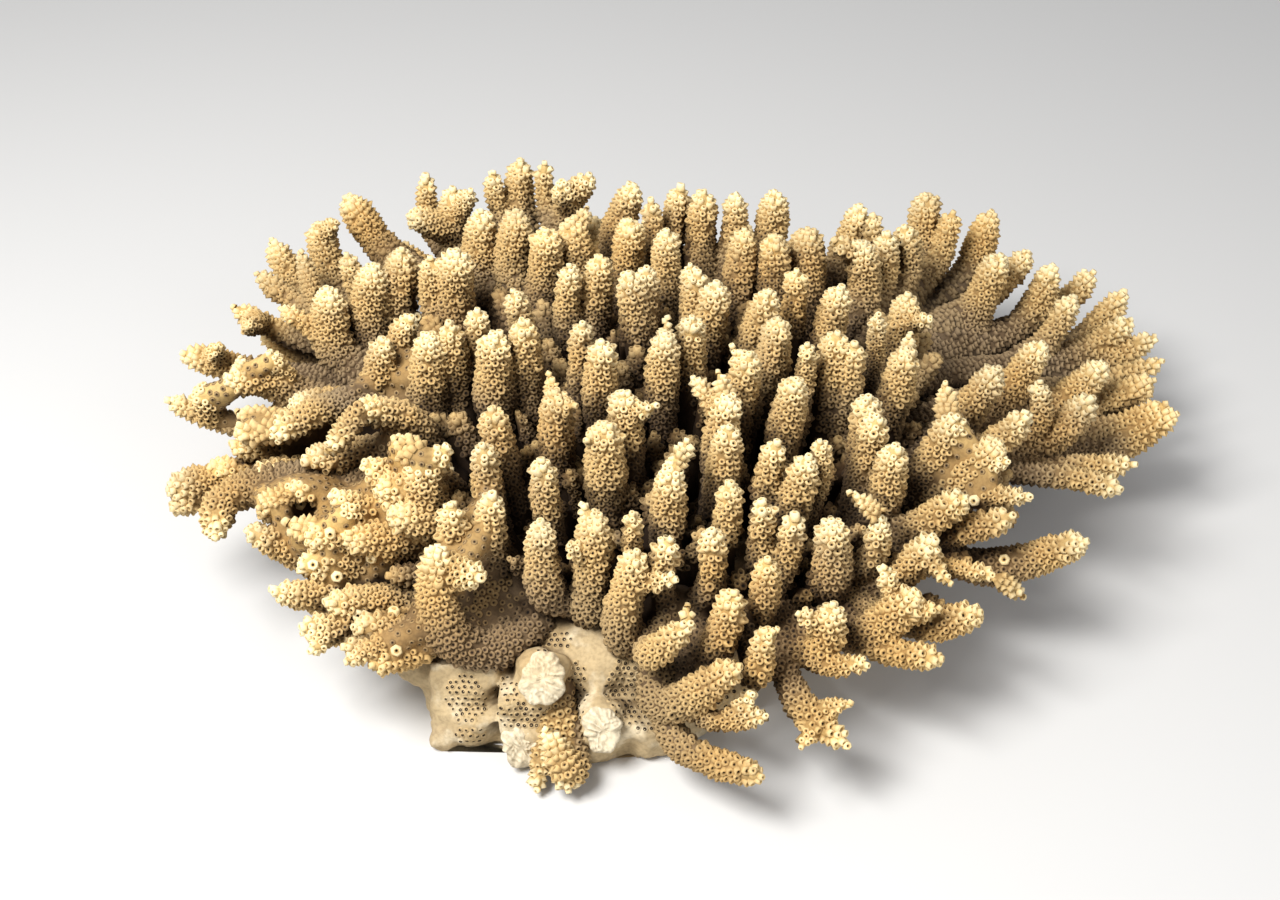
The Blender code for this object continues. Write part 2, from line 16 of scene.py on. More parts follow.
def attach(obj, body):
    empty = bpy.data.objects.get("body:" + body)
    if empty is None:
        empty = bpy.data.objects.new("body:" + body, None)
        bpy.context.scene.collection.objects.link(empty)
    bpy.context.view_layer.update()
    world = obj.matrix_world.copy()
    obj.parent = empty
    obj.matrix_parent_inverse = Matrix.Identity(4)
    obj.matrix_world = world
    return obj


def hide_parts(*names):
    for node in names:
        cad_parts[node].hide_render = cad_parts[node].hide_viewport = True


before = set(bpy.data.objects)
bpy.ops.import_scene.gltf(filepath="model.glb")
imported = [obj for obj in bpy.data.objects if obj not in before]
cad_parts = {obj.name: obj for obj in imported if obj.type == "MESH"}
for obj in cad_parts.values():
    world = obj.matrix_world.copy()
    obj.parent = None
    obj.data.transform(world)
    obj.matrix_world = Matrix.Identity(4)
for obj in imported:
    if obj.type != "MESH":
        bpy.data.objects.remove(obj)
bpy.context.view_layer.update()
MM = 0.001
draw = random.Random(7)


def either_way(reach):
    """A drawn number within this reach on either side of zero."""
    return draw.uniform(-reach, reach)


print("nodes in the frame:", len(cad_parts))

# %% [markdown]
# The photograph looks down on the colony from 40 degrees. The same camera is made first, because
# the fingers are placed along its lines of sight: a lens that spans 40 degrees across the frame,
# 530 mm from the colony's middle, turned so that this middle falls on one pixel of the picture.

# %% The camera
PHOTO_WIDTH = 1280
PHOTO_HEIGHT = 900
FIELD_OF_VIEW = math.radians(40)
CAMERA_ELEVATION = math.radians(40)
CAMERA_DISTANCE = 530 * MM
AIM_POINT = Vector((0, 0, 45 * MM))
AIM_PIXEL = (671, 475)
SENSOR_WIDTH = 36
FOCAL_PIXELS = PHOTO_WIDTH / 2 / math.tan(FIELD_OF_VIEW / 2)
FORWARD = Vector((0, math.cos(CAMERA_ELEVATION), -math.sin(CAMERA_ELEVATION)))
RIGHT = Vector((1, 0, 0))
UP = RIGHT.cross(FORWARD)


def pixel_direction(u, v):
    """The direction in which the camera sees one pixel, one unit deep."""
    across = (u - PHOTO_WIDTH / 2) / FOCAL_PIXELS
    upward = (PHOTO_HEIGHT / 2 - v) / FOCAL_PIXELS
    return FORWARD + RIGHT * across + UP * upward


CAMERA_PLACE = AIM_POINT - pixel_direction(*AIM_PIXEL) * CAMERA_DISTANCE


def add_camera():
    """The camera at the photograph's viewing angle."""
    bpy.ops.object.camera_add(location=CAMERA_PLACE, rotation=(math.pi / 2 - CAMERA_ELEVATION, 0, 0))
    camera = bpy.context.object
    camera.name = "camera"
    camera.data.sensor_width = SENSOR_WIDTH
    camera.data.lens = SENSOR_WIDTH / 2 / math.tan(FIELD_OF_VIEW / 2)
    camera.data.clip_start = 0.01
    bpy.context.scene.camera = camera
    return camera


bpy.ops.object.select_all(action="DESELECT")
print("camera lens:", round(add_camera().data.lens, 2), "mm")

# %% [markdown]
# The tips of the fingers lie on one domed crown, which falls off to the sides and faster to the
# front. A line of sight through a tip's pixel meets that crown in one place. A second pixel, lower
# on the same finger, says how it leans, and from there it curves down into the disc of the base.

# %% Where a finger stands
CROWN_HEIGHT = 92 * MM
CROWN_MIDDLE_Y = 25 * MM
CROWN_FALL_SIDES = 1.75
CROWN_FALL_FRONT = 4.2
CROWN_FALL_BACK = 0.35
LOWEST_TIP = 8 * MM
LEAN_TOWARDS = -0.85
LEAN_AWAY = 1.2
DISC_SHARE = 0.42
ROOT_RING = Vector((78 * MM, 64 * MM))
ROOT_MIDDLE = Vector((2 * MM, 12 * MM))
NEAREST_TIP = 0.3
FARTHEST_TIP = 0.9
GROWTH_BACK, GROWTH_FRONT, GROWTH_RISE = 0.5, 0.4, 2.5
HIDDEN_GROWTH = (0.9, 1.1)
ROOT_PULL, ROOT_REACH = 0.95, 0.9
# In millimetres: the steps along a line of sight, and the length of a hidden finger
SIGHT_STEP = 0.5
HIDDEN_LENGTH = 30


def crown_height(x, y):
    """Height of the crown over one place."""
    away = y - CROWN_MIDDLE_Y
    fall = CROWN_FALL_FRONT if away < 0 else CROWN_FALL_BACK
    return CROWN_HEIGHT - CROWN_FALL_SIDES * x**2 - fall * away**2


def tip_place(u, v, under=0):
    """Where the line of sight through one pixel first meets the crown, or passes closest over it.

    A place for a finger below the others is looked for on the crown lowered by a distance.
    """
    direction = pixel_direction(u, v).normalized()
    closest = None
    smallest = 1
    for step in range(round((FARTHEST_TIP - NEAREST_TIP) / (SIGHT_STEP * MM))):
        point = CAMERA_PLACE + direction * (NEAREST_TIP + step * SIGHT_STEP * MM)
        over = point.z - max(crown_height(point.x, point.y) - under, LOWEST_TIP)
        if over <= 0:
            return point
        if over < smallest:
            smallest = over
            closest = point
    return closest


def toe_place(tip, tip_pixel, toe_pixel):
    """The finger's lower axis point: exact in the picture, and in depth as a finger there grows."""
    across = tip_pixel[0] - toe_pixel[0]
    rise = toe_pixel[1] - tip_pixel[1]
    shown = math.hypot(across, rise)
    in_picture = (RIGHT * across + UP * rise) / shown
    share = GROWTH_BACK if tip.y > CROWN_MIDDLE_Y else GROWTH_FRONT
    growth = Vector((tip.x, share * (tip.y - CROWN_MIDDLE_Y), GROWTH_RISE * tip.z))
    along = growth.dot(in_picture)
    lean = growth.dot(FORWARD) / along if along > 0 else LEAN_TOWARDS
    lean = min(max(lean, LEAN_TOWARDS), LEAN_AWAY)
    distance = (tip - CAMERA_PLACE).dot(FORWARD)
    return tip - (in_picture + FORWARD * lean) * (shown / FOCAL_PIXELS * distance)


def hidden_toe(tip):
    """The lower axis point of a finger behind the colony, which the photograph doesn't show."""
    back, rise = HIDDEN_GROWTH
    growth = Vector((tip.x, back * (tip.y - CROWN_MIDDLE_Y), rise * tip.z))
    return tip - growth.normalized() * HIDDEN_LENGTH * MM


def disc_height(x, y):
    """Height of the base's disc, from which the fingers rise."""
    return DISC_SHARE * crown_height(x, y)


def root_place(toe):
    """Where a finger joins the disc: straight under its toe, or at the rim of the root ring."""
    offset = Vector((toe.x, toe.y)) - ROOT_MIDDLE
    out = math.hypot(offset.x / ROOT_RING.x, offset.y / ROOT_RING.y)
    pulled = ROOT_MIDDLE + offset * min(ROOT_PULL, ROOT_REACH / max(out, 0.001))
    return Vector((pulled.x, pulled.y, disc_height(pulled.x, pulled.y)))


print("crown over the middle:", round(crown_height(0, 0) / MM, 1), "mm")

# %% [markdown]
# The colony splits at its main forks into branches, one node each. Every row below is one finger:
# the pixel of its tip, the pixel of a lower point on it, and its thickness over the knobs. A row
# with three numbers is a hidden finger: its tip's place in millimetres. A row with six gives tip
# and lower point in millimetres. Twigs are too small for the solids, so this lesson adds them.

# %% Read the branches
TWIG = 5.0 * MM
THIN = 6.2 * MM
SLIM = 8.2 * MM
STOUT = 10.4 * MM
THICK = 12.2 * MM
SPUR_LENGTH = 13 * MM
SINK = 5 * MM
ROOT_GATHER = 0.5
NEAREST_STEPS = 8
HIDDEN_ROW, GIVEN_ROW = 4, 7

BRANCHES = {
    "left_1": (
        (163, 398, 228, 425, THIN), (200, 388, 216, 410, SLIM), (222, 376, 300, 392, SLIM),
        (232, 434, 258, 440, THIN), (234, 412, 262, 418, THIN), (240, 352, 244, 366, TWIG),
        (266, 349, 300, 372, TWIG), (270, 437, 335, 405, SLIM), (384, 335, 376, 385, SLIM),
        (412, 314, 395, 350, SLIM), (427, 331, 431, 440, STOUT), (448, 320, 456, 400, SLIM),
    ),
    "left_2": (
        (163, 490, 235, 478, STOUT), (181, 468, 190, 485, TWIG), (325, 457, 350, 438, THIN),
        (356, 407, 402, 418, SLIM),
    ),
    "back_left_1": (
        (343, 193, 385, 252, STOUT), (406, 214, 425, 240, SLIM), (425, 172, 430, 225, THIN),
        (452, 185, 452, 245, SLIM), (472, 187, 474, 228, TWIG), (481, 208, 482, 278, STOUT),
        (517, 208, 512, 282, STOUT), (546, 226, 548, 350, STOUT), (-98, 128, 44, STOUT),
    ),
    "back_left_2": (
        (270, 238, 300, 290, SLIM), (316, 219, 338, 295, STOUT), (337, 218, 355, 235, TWIG),
        (-128, 108, 36, STOUT), (-118, 120, 30, STOUT),
    ),
    "back_left_3": (
        (252, 270, 290, 300, THIN), (300, 247, 314, 285, TWIG), (345, 250, 360, 300, THIN),
        (372, 262, 372, 345, THICK), (402, 246, 401, 330, STOUT), (430, 253, 431, 315, THIN),
        (455, 248, 453, 325, THICK), (-140, 85, 38, STOUT),
    ),
    "back_left_4": (
        (178, 352, 250, 372, SLIM), (215, 345, 222, 362, TWIG), (230, 306, 275, 330, THIN),
        (246, 328, 262, 334, TWIG), (277, 305, 312, 348, TWIG), (326, 286, 336, 355, THICK),
    ),
    "back_1": (
        (703, 188, 702, 250, STOUT), (736, 191, 735, 240, SLIM), (745, 226, 735, 340, STOUT),
        (775, 188, 771, 245, STOUT), (28, 114, 62, STOUT), (36, 132, 36, STOUT),
    ),
    "back_2": ((10, 122, 48, STOUT),),
    "back_3": (
        (630, 216, 628, 290, STOUT), (635, 182, 615, 245, STOUT), (650, 195, 655, 240, THIN),
        (681, 183, 672, 245, SLIM), (-28, 124, 60, STOUT), (-8, 116, 62, STOUT), (-16, 132, 38, STOUT),
    ),
    "back_4": (
        (492, 168, 498, 215, THIN), (520, 157, 519, 220, STOUT), (545, 158, 543, 195, THIN),
        (559, 182, 560, 215, SLIM), (567, 216, 585, 285, STOUT), (590, 203, 588, 225, TWIG),
        (592, 172, 562, 215, SLIM), (-72, 134, 52, STOUT), (-52, 132, 48, STOUT),
    ),
    "back_right_1": (
        (1076, 294, 1042, 350, SLIM), (1135, 318, 1092, 348, SLIM), (1160, 335, 1100, 365, SLIM),
    ),
    "back_right_2": (
        (1003, 252, 958, 345, STOUT), (1032, 249, 1003, 285, SLIM), (1055, 262, 1030, 322, STOUT),
        (1097, 268, 1068, 302, SLIM), (1128, 290, 1072, 350, SLIM), (140, 98, 36, STOUT),
    ),
    "back_right_3": (
        (830, 238, 845, 262, THIN), (859, 239, 868, 292, STOUT), (873, 212, 873, 250, THIN),
        (888, 229, 885, 280, SLIM), (903, 222, 912, 270, SLIM), (926, 191, 921, 255, STOUT),
        (941, 193, 936, 215, TWIG), (955, 208, 936, 268, SLIM), (993, 208, 968, 278, STOUT),
        (122, 118, 42, STOUT),
    ),
    "back_right_4": (
        (775, 232, 775, 290, STOUT), (808, 225, 806, 300, THICK), (861, 203, 850, 252, STOUT),
        (50, 118, 56, STOUT), (98, 128, 46, STOUT), (68, 122, 48, STOUT), (82, 134, 34, STOUT),
    ),
    "right_1": (
        (1001, 366, 960, 430, STOUT), (1030, 410, 1006, 440, SLIM), (1040, 379, 1043, 430, THIN),
        (1096, 395, 1050, 445, STOUT), (1125, 491, 1075, 478, THIN), (1140, 464, 1055, 470, THIN),
    ),
    "right_2": (
        (1045, 340, 1005, 400, STOUT), (1108, 362, 1062, 405, STOUT), (1158, 378, 1102, 408, STOUT),
        (1168, 360, 1125, 375, THIN), (1170, 402, 1120, 425, THIN), (1180, 412, 1095, 455, STOUT),
    ),
    "front_right_1": (
        (832, 517, 835, 585, THICK), (846, 489, 860, 500, TWIG), (880, 516, 878, 558, SLIM),
        (882, 562, 880, 585, THIN), (922, 592, 862, 640, THICK), (938, 537, 903, 580, STOUT),
        (945, 660, 885, 652, SLIM), (945, 607, 905, 620, THIN), (955, 588, 938, 562, TWIG),
        (985, 611, 935, 628, STOUT),
    ),
    "front_right_2": (
        (868, 393, 870, 428, STOUT), (877, 413, 870, 500, STOUT), (895, 442, 890, 512, STOUT),
        (970, 494, 905, 545, STOUT), (996, 576, 952, 570, THIN), (1018, 515, 962, 535, SLIM),
        (1028, 602, 1026, 580, TWIG), (1091, 540, 1000, 572, STOUT),
    ),
    "front_right_3": (
        (945, 378, 936, 402, THIN), (958, 414, 935, 468, STOUT), (1003, 441, 972, 475, THICK),
        (1012, 462, 985, 470, THIN), (1035, 496, 985, 502, THIN),
    ),
    "front_1": (
        (540, 520, 546, 600, STOUT), (567, 545, 575, 575, THIN), (578, 499, 590, 515, THIN),
        (594, 512, 590, 610, THICK),
    ),
    "front_2": (
        (636, 548, 628, 650, STOUT), (672, 535, 660, 572, SLIM), (680, 579, 652, 592, THIN),
        (687, 600, 692, 618, TWIG), (692, 622, 650, 660, SLIM), (712, 526, 712, 592, SLIM),
        (735, 590, 715, 655, STOUT), (742, 665, 660, 712, STOUT), (755, 690, 735, 705, TWIG),
        (766, 780, 672, 745, SLIM), (772, 717, 700, 722, THIN),
    ),
    "front_3": (
        (762, 497, 765, 552, SLIM), (765, 627, 759, 680, SLIM), (768, 555, 765, 615, SLIM),
        (780, 626, 792, 640, TWIG), (795, 512, 792, 552, SLIM), (797, 610, 812, 640, THIN),
        (800, 752, 800, 725, TWIG), (835, 602, 822, 655, STOUT), (850, 748, 808, 715, SLIM),
        (855, 702, 815, 705, TWIG), (875, 664, 820, 668, THIN),
    ),
    "front_4": ((-28, -84, 6, -34, -62, 15, SLIM), (-35, -82, 6, -34, -62, 15, THIN)),
    "front_left_1": (
        (215, 541, 218, 500, STOUT), (243, 528, 325, 568, SLIM), (253, 510, 280, 490, TWIG),
        (268, 592, 350, 600, SLIM), (280, 520, 310, 538, THIN), (285, 485, 320, 498, THIN),
        (303, 535, 390, 545, SLIM), (328, 494, 362, 512, SLIM), (342, 514, 372, 530, THIN),
        (360, 460, 410, 500, SLIM), (392, 437, 412, 428, THIN), (419, 456, 424, 500, STOUT),
        (451, 444, 446, 472, THIN),
    ),
    "front_left_2": ((297, 628, 390, 635, SLIM), (308, 655, 340, 645, TWIG)),
    "front_left_3": (
        (340, 665, 385, 652, TWIG), (438, 541, 442, 625, STOUT), (450, 500, 453, 545, SLIM),
        (482, 442, 487, 510, SLIM), (485, 578, 488, 602, SLIM), (492, 490, 488, 548, SLIM),
    ),
    "crown_1": ((570, 262, 566, 330, SLIM), (600, 253, 593, 335, STOUT)),
    "crown_2": ((667, 227, 665, 300, STOUT),),
    "crown_3": ((797, 267, 795, 335, SLIM),),
    "crown_4": ((478, 306, 475, 350, SLIM),),
    "crown_5": ((512, 286, 520, 325, SLIM),),
    "crown_6": ((475, 336, 465, 372, TWIG), (495, 331, 493, 425, THICK), (522, 318, 525, 405, STOUT)),
    "crown_7": ((582, 319, 580, 400, SLIM),),
    "crown_8": ((628, 270, 640, 345, STOUT), (646, 264, 648, 330, SLIM)),
    "crown_9": ((692, 313, 690, 385, STOUT),),
    "crown_10": ((690, 260, 690, 300, THIN), (699, 268, 694, 312, SLIM), (717, 280, 711, 335, STOUT)),
    "crown_11": ((771, 288, 756, 342, STOUT),),
    "crown_12": ((779, 316, 773, 385, STOUT),),
    "crown_13": ((841, 284, 829, 345, STOUT),),
    "crown_14": ((877, 311, 880, 352, THIN),),
    "crown_15": ((908, 290, 905, 345, STOUT), (934, 319, 930, 348, THIN)),
    "crown_16": ((490, 405, 497, 455, STOUT),),
    "crown_17": ((548, 368, 547, 400, TWIG), (555, 388, 556, 475, STOUT), (577, 404, 567, 425, TWIG)),
    "crown_18": ((602, 339, 599, 410, STOUT),),
    "crown_19": ((622, 388, 626, 445, STOUT), (660, 405, 655, 430, THIN)),
    "crown_20": ((665, 331, 661, 425, STOUT), (668, 313, 655, 335, THIN)),
    "crown_21": ((730, 341, 735, 362, TWIG), (750, 350, 740, 412, STOUT)),
    "crown_22": ((797, 375, 786, 445, STOUT),),
    "crown_23": ((808, 339, 808, 380, THIN),),
    "crown_24": ((838, 329, 831, 405, STOUT), (856, 339, 851, 405, SLIM)),
    "crown_25": ((909, 345, 895, 425, STOUT), (912, 329, 905, 347, TWIG)),
    "crown_26": ((541, 457, 546, 525, SLIM),),
    "crown_27": ((580, 436, 590, 452, TWIG), (604, 420, 606, 515, THICK)),
    "crown_28": ((632, 508, 632, 548, THIN),),
    "crown_29": ((671, 467, 668, 545, STOUT), (672, 455, 633, 475, TWIG), (690, 436, 690, 460, THIN)),
    "crown_30": ((731, 480, 728, 548, SLIM),),
    "crown_31": (
        (690, 371, 690, 400, THIN), (717, 366, 722, 385, TWIG), (730, 395, 722, 440, STOUT),
        (730, 422, 723, 505, STOUT),
    ),
    "crown_32": ((778, 438, 768, 498, SLIM), (810, 454, 795, 512, STOUT), (820, 436, 825, 480, THIN)),
}

# Fingers of the left side that lie below the others, and the lobes of the small front cluster
LOWER_FINGERS = {
    "left_1": ((228, 446, 296, 452, STOUT), (288, 404, 350, 408, STOUT), (262, 424, 330, 430, STOUT)),
    "left_2": (
        (168, 510, 214, 492, SLIM), (206, 466, 250, 478, STOUT), (246, 478, 330, 472, STOUT),
        (300, 462, 380, 458, STOUT),
    ),
    "front_left_1": (
        (256, 512, 330, 515, STOUT), (296, 566, 392, 562, STOUT), (386, 512, 432, 530, STOUT),
        (372, 492, 430, 486, STOUT), (340, 536, 420, 548, STOUT),
    ),
    "front_left_2": ((322, 604, 412, 604, STOUT), (350, 628, 430, 628, STOUT)),
    "front_left_3": ((338, 648, 416, 644, SLIM), (366, 668, 420, 650, SLIM)),
    "front_4": (
        (-36, -76, 19, -28, -84, 9, SLIM), (-29, -90, 5, -32, -79, 9, SLIM),
        (-38, -88, 3, -37, -76, 8, THIN),
    ),
}
LOWER_BY = 5 * MM

# The curved finger at the front left, from its tip down to where it grows from the base
CURVED_FINGER = ((438, 541), (435, 575), (440, 612), (456, 640), (484, 652), (512, 642), (536, 622))
CURVED_NODE = "front_left_3"
CURVED_EASE = 1.5


def nearest_on(point, paths):
    """The point of these paths nearest to a place."""
    best = None
    for path in paths:
        for start, end in zip(path, path[1:]):
            for step in range(NEAREST_STEPS + 1):
                candidate = start.lerp(end, step / NEAREST_STEPS)
                if best is None or (candidate - point).length < (best - point).length:
                    best = candidate
    return best


def tip_and_toe(row, under=0):
    """The places of one row's tip and lower point."""
    if len(row) == GIVEN_ROW:
        return Vector(row[:3]) * MM, Vector(row[3:6]) * MM
    if len(row) == HIDDEN_ROW:
        tip = Vector(row[:3]) * MM
        return tip, hidden_toe(tip)
    tip = tip_place(*row[:2], under)
    return tip, toe_place(tip, row[:2], row[2:4])


def read_branch(rows):
    """The branch's fingers as (places from the tip down, thickness), and the middle of their roots."""
    fingers = []
    spurs = []
    for row in rows:
        tip, toe = tip_and_toe(row)
        if len(row) == GIVEN_ROW:
            fingers.append(([tip, toe], row[-1]))
        elif (tip - toe).length < SPUR_LENGTH or row[-1] == TWIG:
            spurs.append(([tip, toe], row[-1]))
        else:
            fingers.append(([tip, toe, root_place(toe)], row[-1]))
    middle = sum((path[-1] for path, _ in fingers), Vector()) / len(fingers)
    for path, _ in spurs:
        path[-1] = nearest_on(path[-1], [other for other, _ in fingers])
    for path, _ in fingers:
        path[-1] = path[-1].lerp(middle, ROOT_GATHER)
        path.append(path[-1] + Vector((0, 0, -SINK)))
    return fingers + spurs, middle


def lower_finger(row, middle):
    """A finger below the others, in the same form as the branch's own."""
    tip, toe = tip_and_toe(row, LOWER_BY)
    if len(row) == GIVEN_ROW:
        return [tip, toe, middle, middle + Vector((0, 0, -MM))], row[-1]
    root = root_place(toe).lerp(middle, ROOT_GATHER)
    return [tip, toe, root, root + Vector((0, 0, -SINK))], row[-1]


def curved_finger():
    """The curved finger: its pixels, at depths that pass evenly from its tip's to its root's."""
    tip_depth = (tip_place(*CURVED_FINGER[0]) - CAMERA_PLACE).dot(FORWARD)
    direction = pixel_direction(*CURVED_FINGER[-1])
    root_depth = tip_depth
    while True:
        point = CAMERA_PLACE + direction * root_depth
        if point.z < disc_height(point.x, point.y) - MM:
            break
        root_depth += SIGHT_STEP * MM
    last = len(CURVED_FINGER) - 1
    places = []
    for number, pixel in enumerate(CURVED_FINGER):
        depth = tip_depth + (root_depth - tip_depth) * (number / last) ** CURVED_EASE
        places.append(CAMERA_PLACE + pixel_direction(*pixel) * depth)
    return places + [places[-1] + FORWARD * SINK], STOUT


def branch_fingers(name):
    """All of a branch's fingers: its own, those below them, and the curved one."""
    fingers, middle = read_branch(BRANCHES[name])
    fingers += [lower_finger(row, middle) for row in LOWER_FINGERS.get(name, ())]
    if name == CURVED_NODE:
        start = tip_place(*CURVED_FINGER[0])
        fingers = [finger for finger in fingers if (finger[0][0] - start).length > MM]
        fingers.append(curved_finger())
    return fingers, middle


FINGERS = {name: branch_fingers(name) for name in BRANCHES}
print("branches:", len(FINGERS), "fingers:", sum(len(fingers) for fingers, _ in FINGERS.values()))

# %% [markdown]
# A finger grows in a gentle curve, not in straight runs. Its few places are joined by cubics that
# share their directions, and evenly spaced points are taken off them. The radius follows a bullet:
# a long dome at the tip, then a body that widens slowly towards the root, a little uneven.

# %% A finger's line and its profile
POINT_STEP = 1.5 * MM
CUP_STAND = 0.95 * MM
STAND_SHARE = 0.2
DOME_LENGTH = 1.1
TIP_SHARE = 0.47
LOW_SHARE = 1.18
WIDEN_OVER = 1.1
ROOT_MORE = 0.12
TWIG_MORE = 0.35 * MM
SWELLS = ((0.05, 3.1 * MM, 1), (0.04, 5.3 * MM, 2.3))
RUN_POINTS = 15
FEWEST_STEPS = 3


def at_distance(wanted, along, values):
    """Rows of three values, read off at distances along a line."""
    return np.stack([np.interp(wanted, along, values[:, axis]) for axis in range(3)], axis=-1)


def cup_stand(thickness):
    """How far the cups of a finger stand out from its core."""
    return min(CUP_STAND, STAND_SHARE * thickness)


def smooth_line(places):
    """Evenly spaced points on a smooth line through the places."""
    spots = np.array([tuple(place) for place in places])
    runs = np.diff(spots, axis=0)
    lengths = np.linalg.norm(runs, axis=1)
    directions = runs / lengths[:, None]
    slopes = np.vstack([directions[:1], directions[:-1] + directions[1:], directions[-1:]])
    slopes /= np.linalg.norm(slopes, axis=1)[:, None]
    line = [spots[:1]]
    share = np.linspace(0, 1, RUN_POINTS)[1:, None]
    for number, length in enumerate(lengths):
        start, end = spots[number], spots[number + 1]
        line.append(
            (2 * share**3 - 3 * share**2 + 1) * start
            + (share**3 - 2 * share**2 + share) * slopes[number] * length
            + (3 * share**2 - 2 * share**3) * end
            + (share**3 - share**2) * slopes[number + 1] * length
        )
    line = np.vstack(line)
    along = np.concatenate([[0], np.cumsum(np.linalg.norm(np.diff(line, axis=0), axis=1))])
    wanted = np.linspace(0, along[-1], max(round(along[-1] / POINT_STEP), FEWEST_STEPS) + 1)
    return at_distance(wanted, along, line), wanted


def core_radius(along, total, thickness, waver):
    """Radius of a finger's core at distances down from its tip."""
    radius = thickness / 2 - cup_stand(thickness) + (TWIG_MORE if thickness < THIN else 0)
    share = np.clip(along / (DOME_LENGTH * radius), 0, 1)
    dome = np.sqrt(np.clip(1 - (1 - share) ** 2, 0, 1))
    widening = 1 - np.exp(-along / (WIDEN_OVER * thickness))
    body = TIP_SHARE + (LOW_SHARE - TIP_SHARE) * widening + ROOT_MORE * (along / total) ** 2
    swell = 1
    for size, reach, turn in SWELLS:
        swell = swell + size * np.sin(along / reach + turn * waver)
    return radius * dome * body * swell


line, along = smooth_line(FINGERS["crown_27"][0][0][0])
print("points on the thickest crown finger:", len(line), "over", round(along[-1] / MM), "mm")

# %% [markdown]
# A branch's core is one curve object with a spline for each finger. A round bevel, scaled at each
# point by its radius, turns the splines into tubes. On the left and right edges, where the fingers
# are webbed, short ties join neighbours too. A voxel remesh fuses tubes, ties and the foot in which
# they meet, as living coral does, and a smoothing rounds the forks.

# %% Make the cores
VOXEL = 1.15 * MM
CORE_SHARE = 0.24
SMOOTHING = 0.6
FOOT_RADIUS = 6.5 * MM
FOOT_SPREAD = 1.2
FOOT_LIFT = 3 * MM
FOOT_FLAT = 0.8
FULL_PATH = 4
NEAR_TIP = (0.02, 0.12, 0.3, 0.6, 0.95, 1.35)
WAVER_STEP = 1.7
WEBBED = ("left_1", "left_2", "front_left_1", "front_left_2", "front_left_3", "right_2", "front_right_3")
WIDER = (
    ("back_left", 1.24), ("back_right", 1.16), ("back", 1.1), ("right", 1.12), ("left", 1.12),
    ("front_left", 1.1), ("", 1.0),
)
WEB_FROM = 0.24
WEB_STEP = 3.5 * MM
WEB_REACH = 20 * MM
WEB_RADIUS = 3.3 * MM
TIE_POINTS = 4


def deselect():
    """Nothing is selected, so that the next operator acts on the new piece alone."""
    bpy.ops.object.select_all(action="DESELECT")


def only(piece):
    """Selects one piece and makes it active."""
    deselect()
    piece.select_set(True)
    bpy.context.view_layer.objects.active = piece


def apply_modifier(piece, kind, **values):
    """Adds one modifier with its values and applies it."""
    only(piece)
    modifier = piece.modifiers.new(kind.lower(), kind)
    for key, value in values.items():
        setattr(modifier, key, value)
    bpy.ops.object.modifier_apply(modifier=modifier.name)


def join_to(piece):
    """Joins the newly added piece to this one."""
    piece.select_set(True)
    bpy.context.view_layer.objects.active = piece
    bpy.ops.object.join()


def finger_curve(name, lines):
    """One curve object with a tube for each line, as (points, radii)."""
    deselect()
    bpy.ops.curve.primitive_nurbs_path_add()
    piece = bpy.context.object
    piece.name = name
    curve = piece.data
    curve.splines.clear()
    for points, radii in lines:
        spline = curve.splines.new("POLY")
        spline.points.add(len(points) - 1)
        flat = np.column_stack([points, np.ones(len(points))])
        spline.points.foreach_set("co", flat.ravel())
        spline.points.foreach_set("radius", radii / MM)
    curve.dimensions = "3D"
    curve.bevel_depth = MM
    curve.bevel_resolution = 4
    curve.use_fill_caps = True
    bpy.ops.object.convert(target="MESH")
    return bpy.context.object


def add_foot(piece, middle, radius):
    """The lump in which a branch's fingers meet, joined to its tubes."""
    deselect()
    bpy.ops.mesh.primitive_ico_sphere_add(subdivisions=3, radius=radius, location=middle)
    bpy.ops.transform.resize(value=(1, 1, FOOT_FLAT))
    bpy.ops.object.transform_apply()
    join_to(piece)


def fuse(piece, share):
    """Fuses the piece's overlapping tubes into one smooth skin."""
    apply_modifier(piece, "REMESH", mode="VOXEL", voxel_size=VOXEL)
    apply_modifier(piece, "SMOOTH", factor=SMOOTHING, iterations=5)
    apply_modifier(piece, "DECIMATE", ratio=share)


def core_lines(name):
    """The branch's fingers as (points, distances from the tip, radii, thickness)."""
    lines = []
    for number, (places, thickness) in enumerate(FINGERS[name][0]):
        thickness *= next(share for start, share in WIDER if name.startswith(start))
        points, along = smooth_line(places)
        near_tip = np.array(NEAR_TIP) * thickness / 2
        stand = cup_stand(thickness)
        wanted = np.unique(np.concatenate([stand + near_tip, along[along > stand + near_tip[-1]]]))
        points = at_distance(wanted, along, points)
        depth = wanted - stand
        waver = WAVER_STEP * number + len(name)
        lines.append((points, depth, core_radius(depth, depth[-1], thickness, waver), thickness))
    return lines


def web_ties(lines):
    """Short ties between fingers that lie side by side, which the remesh fuses to a web."""
    ties = []
    for number, (points, depth, _, _) in enumerate(lines):
        for other, _, _, _ in lines[number + 1:]:
            for wanted in np.arange(WEB_FROM * depth[-1], depth[-1], WEB_STEP):
                here = points[int(np.searchsorted(depth, wanted))]
                gaps = np.linalg.norm(other - here, axis=1)
                there = int(np.argmin(gaps))
                if there < WEB_FROM * len(other) or gaps[there] > WEB_REACH:
                    continue
                share = np.linspace(0, 1, TIE_POINTS)[:, None]
                ties.append((here * (1 - share) + other[there] * share, np.full(TIE_POINTS, WEB_RADIUS)))
    return ties


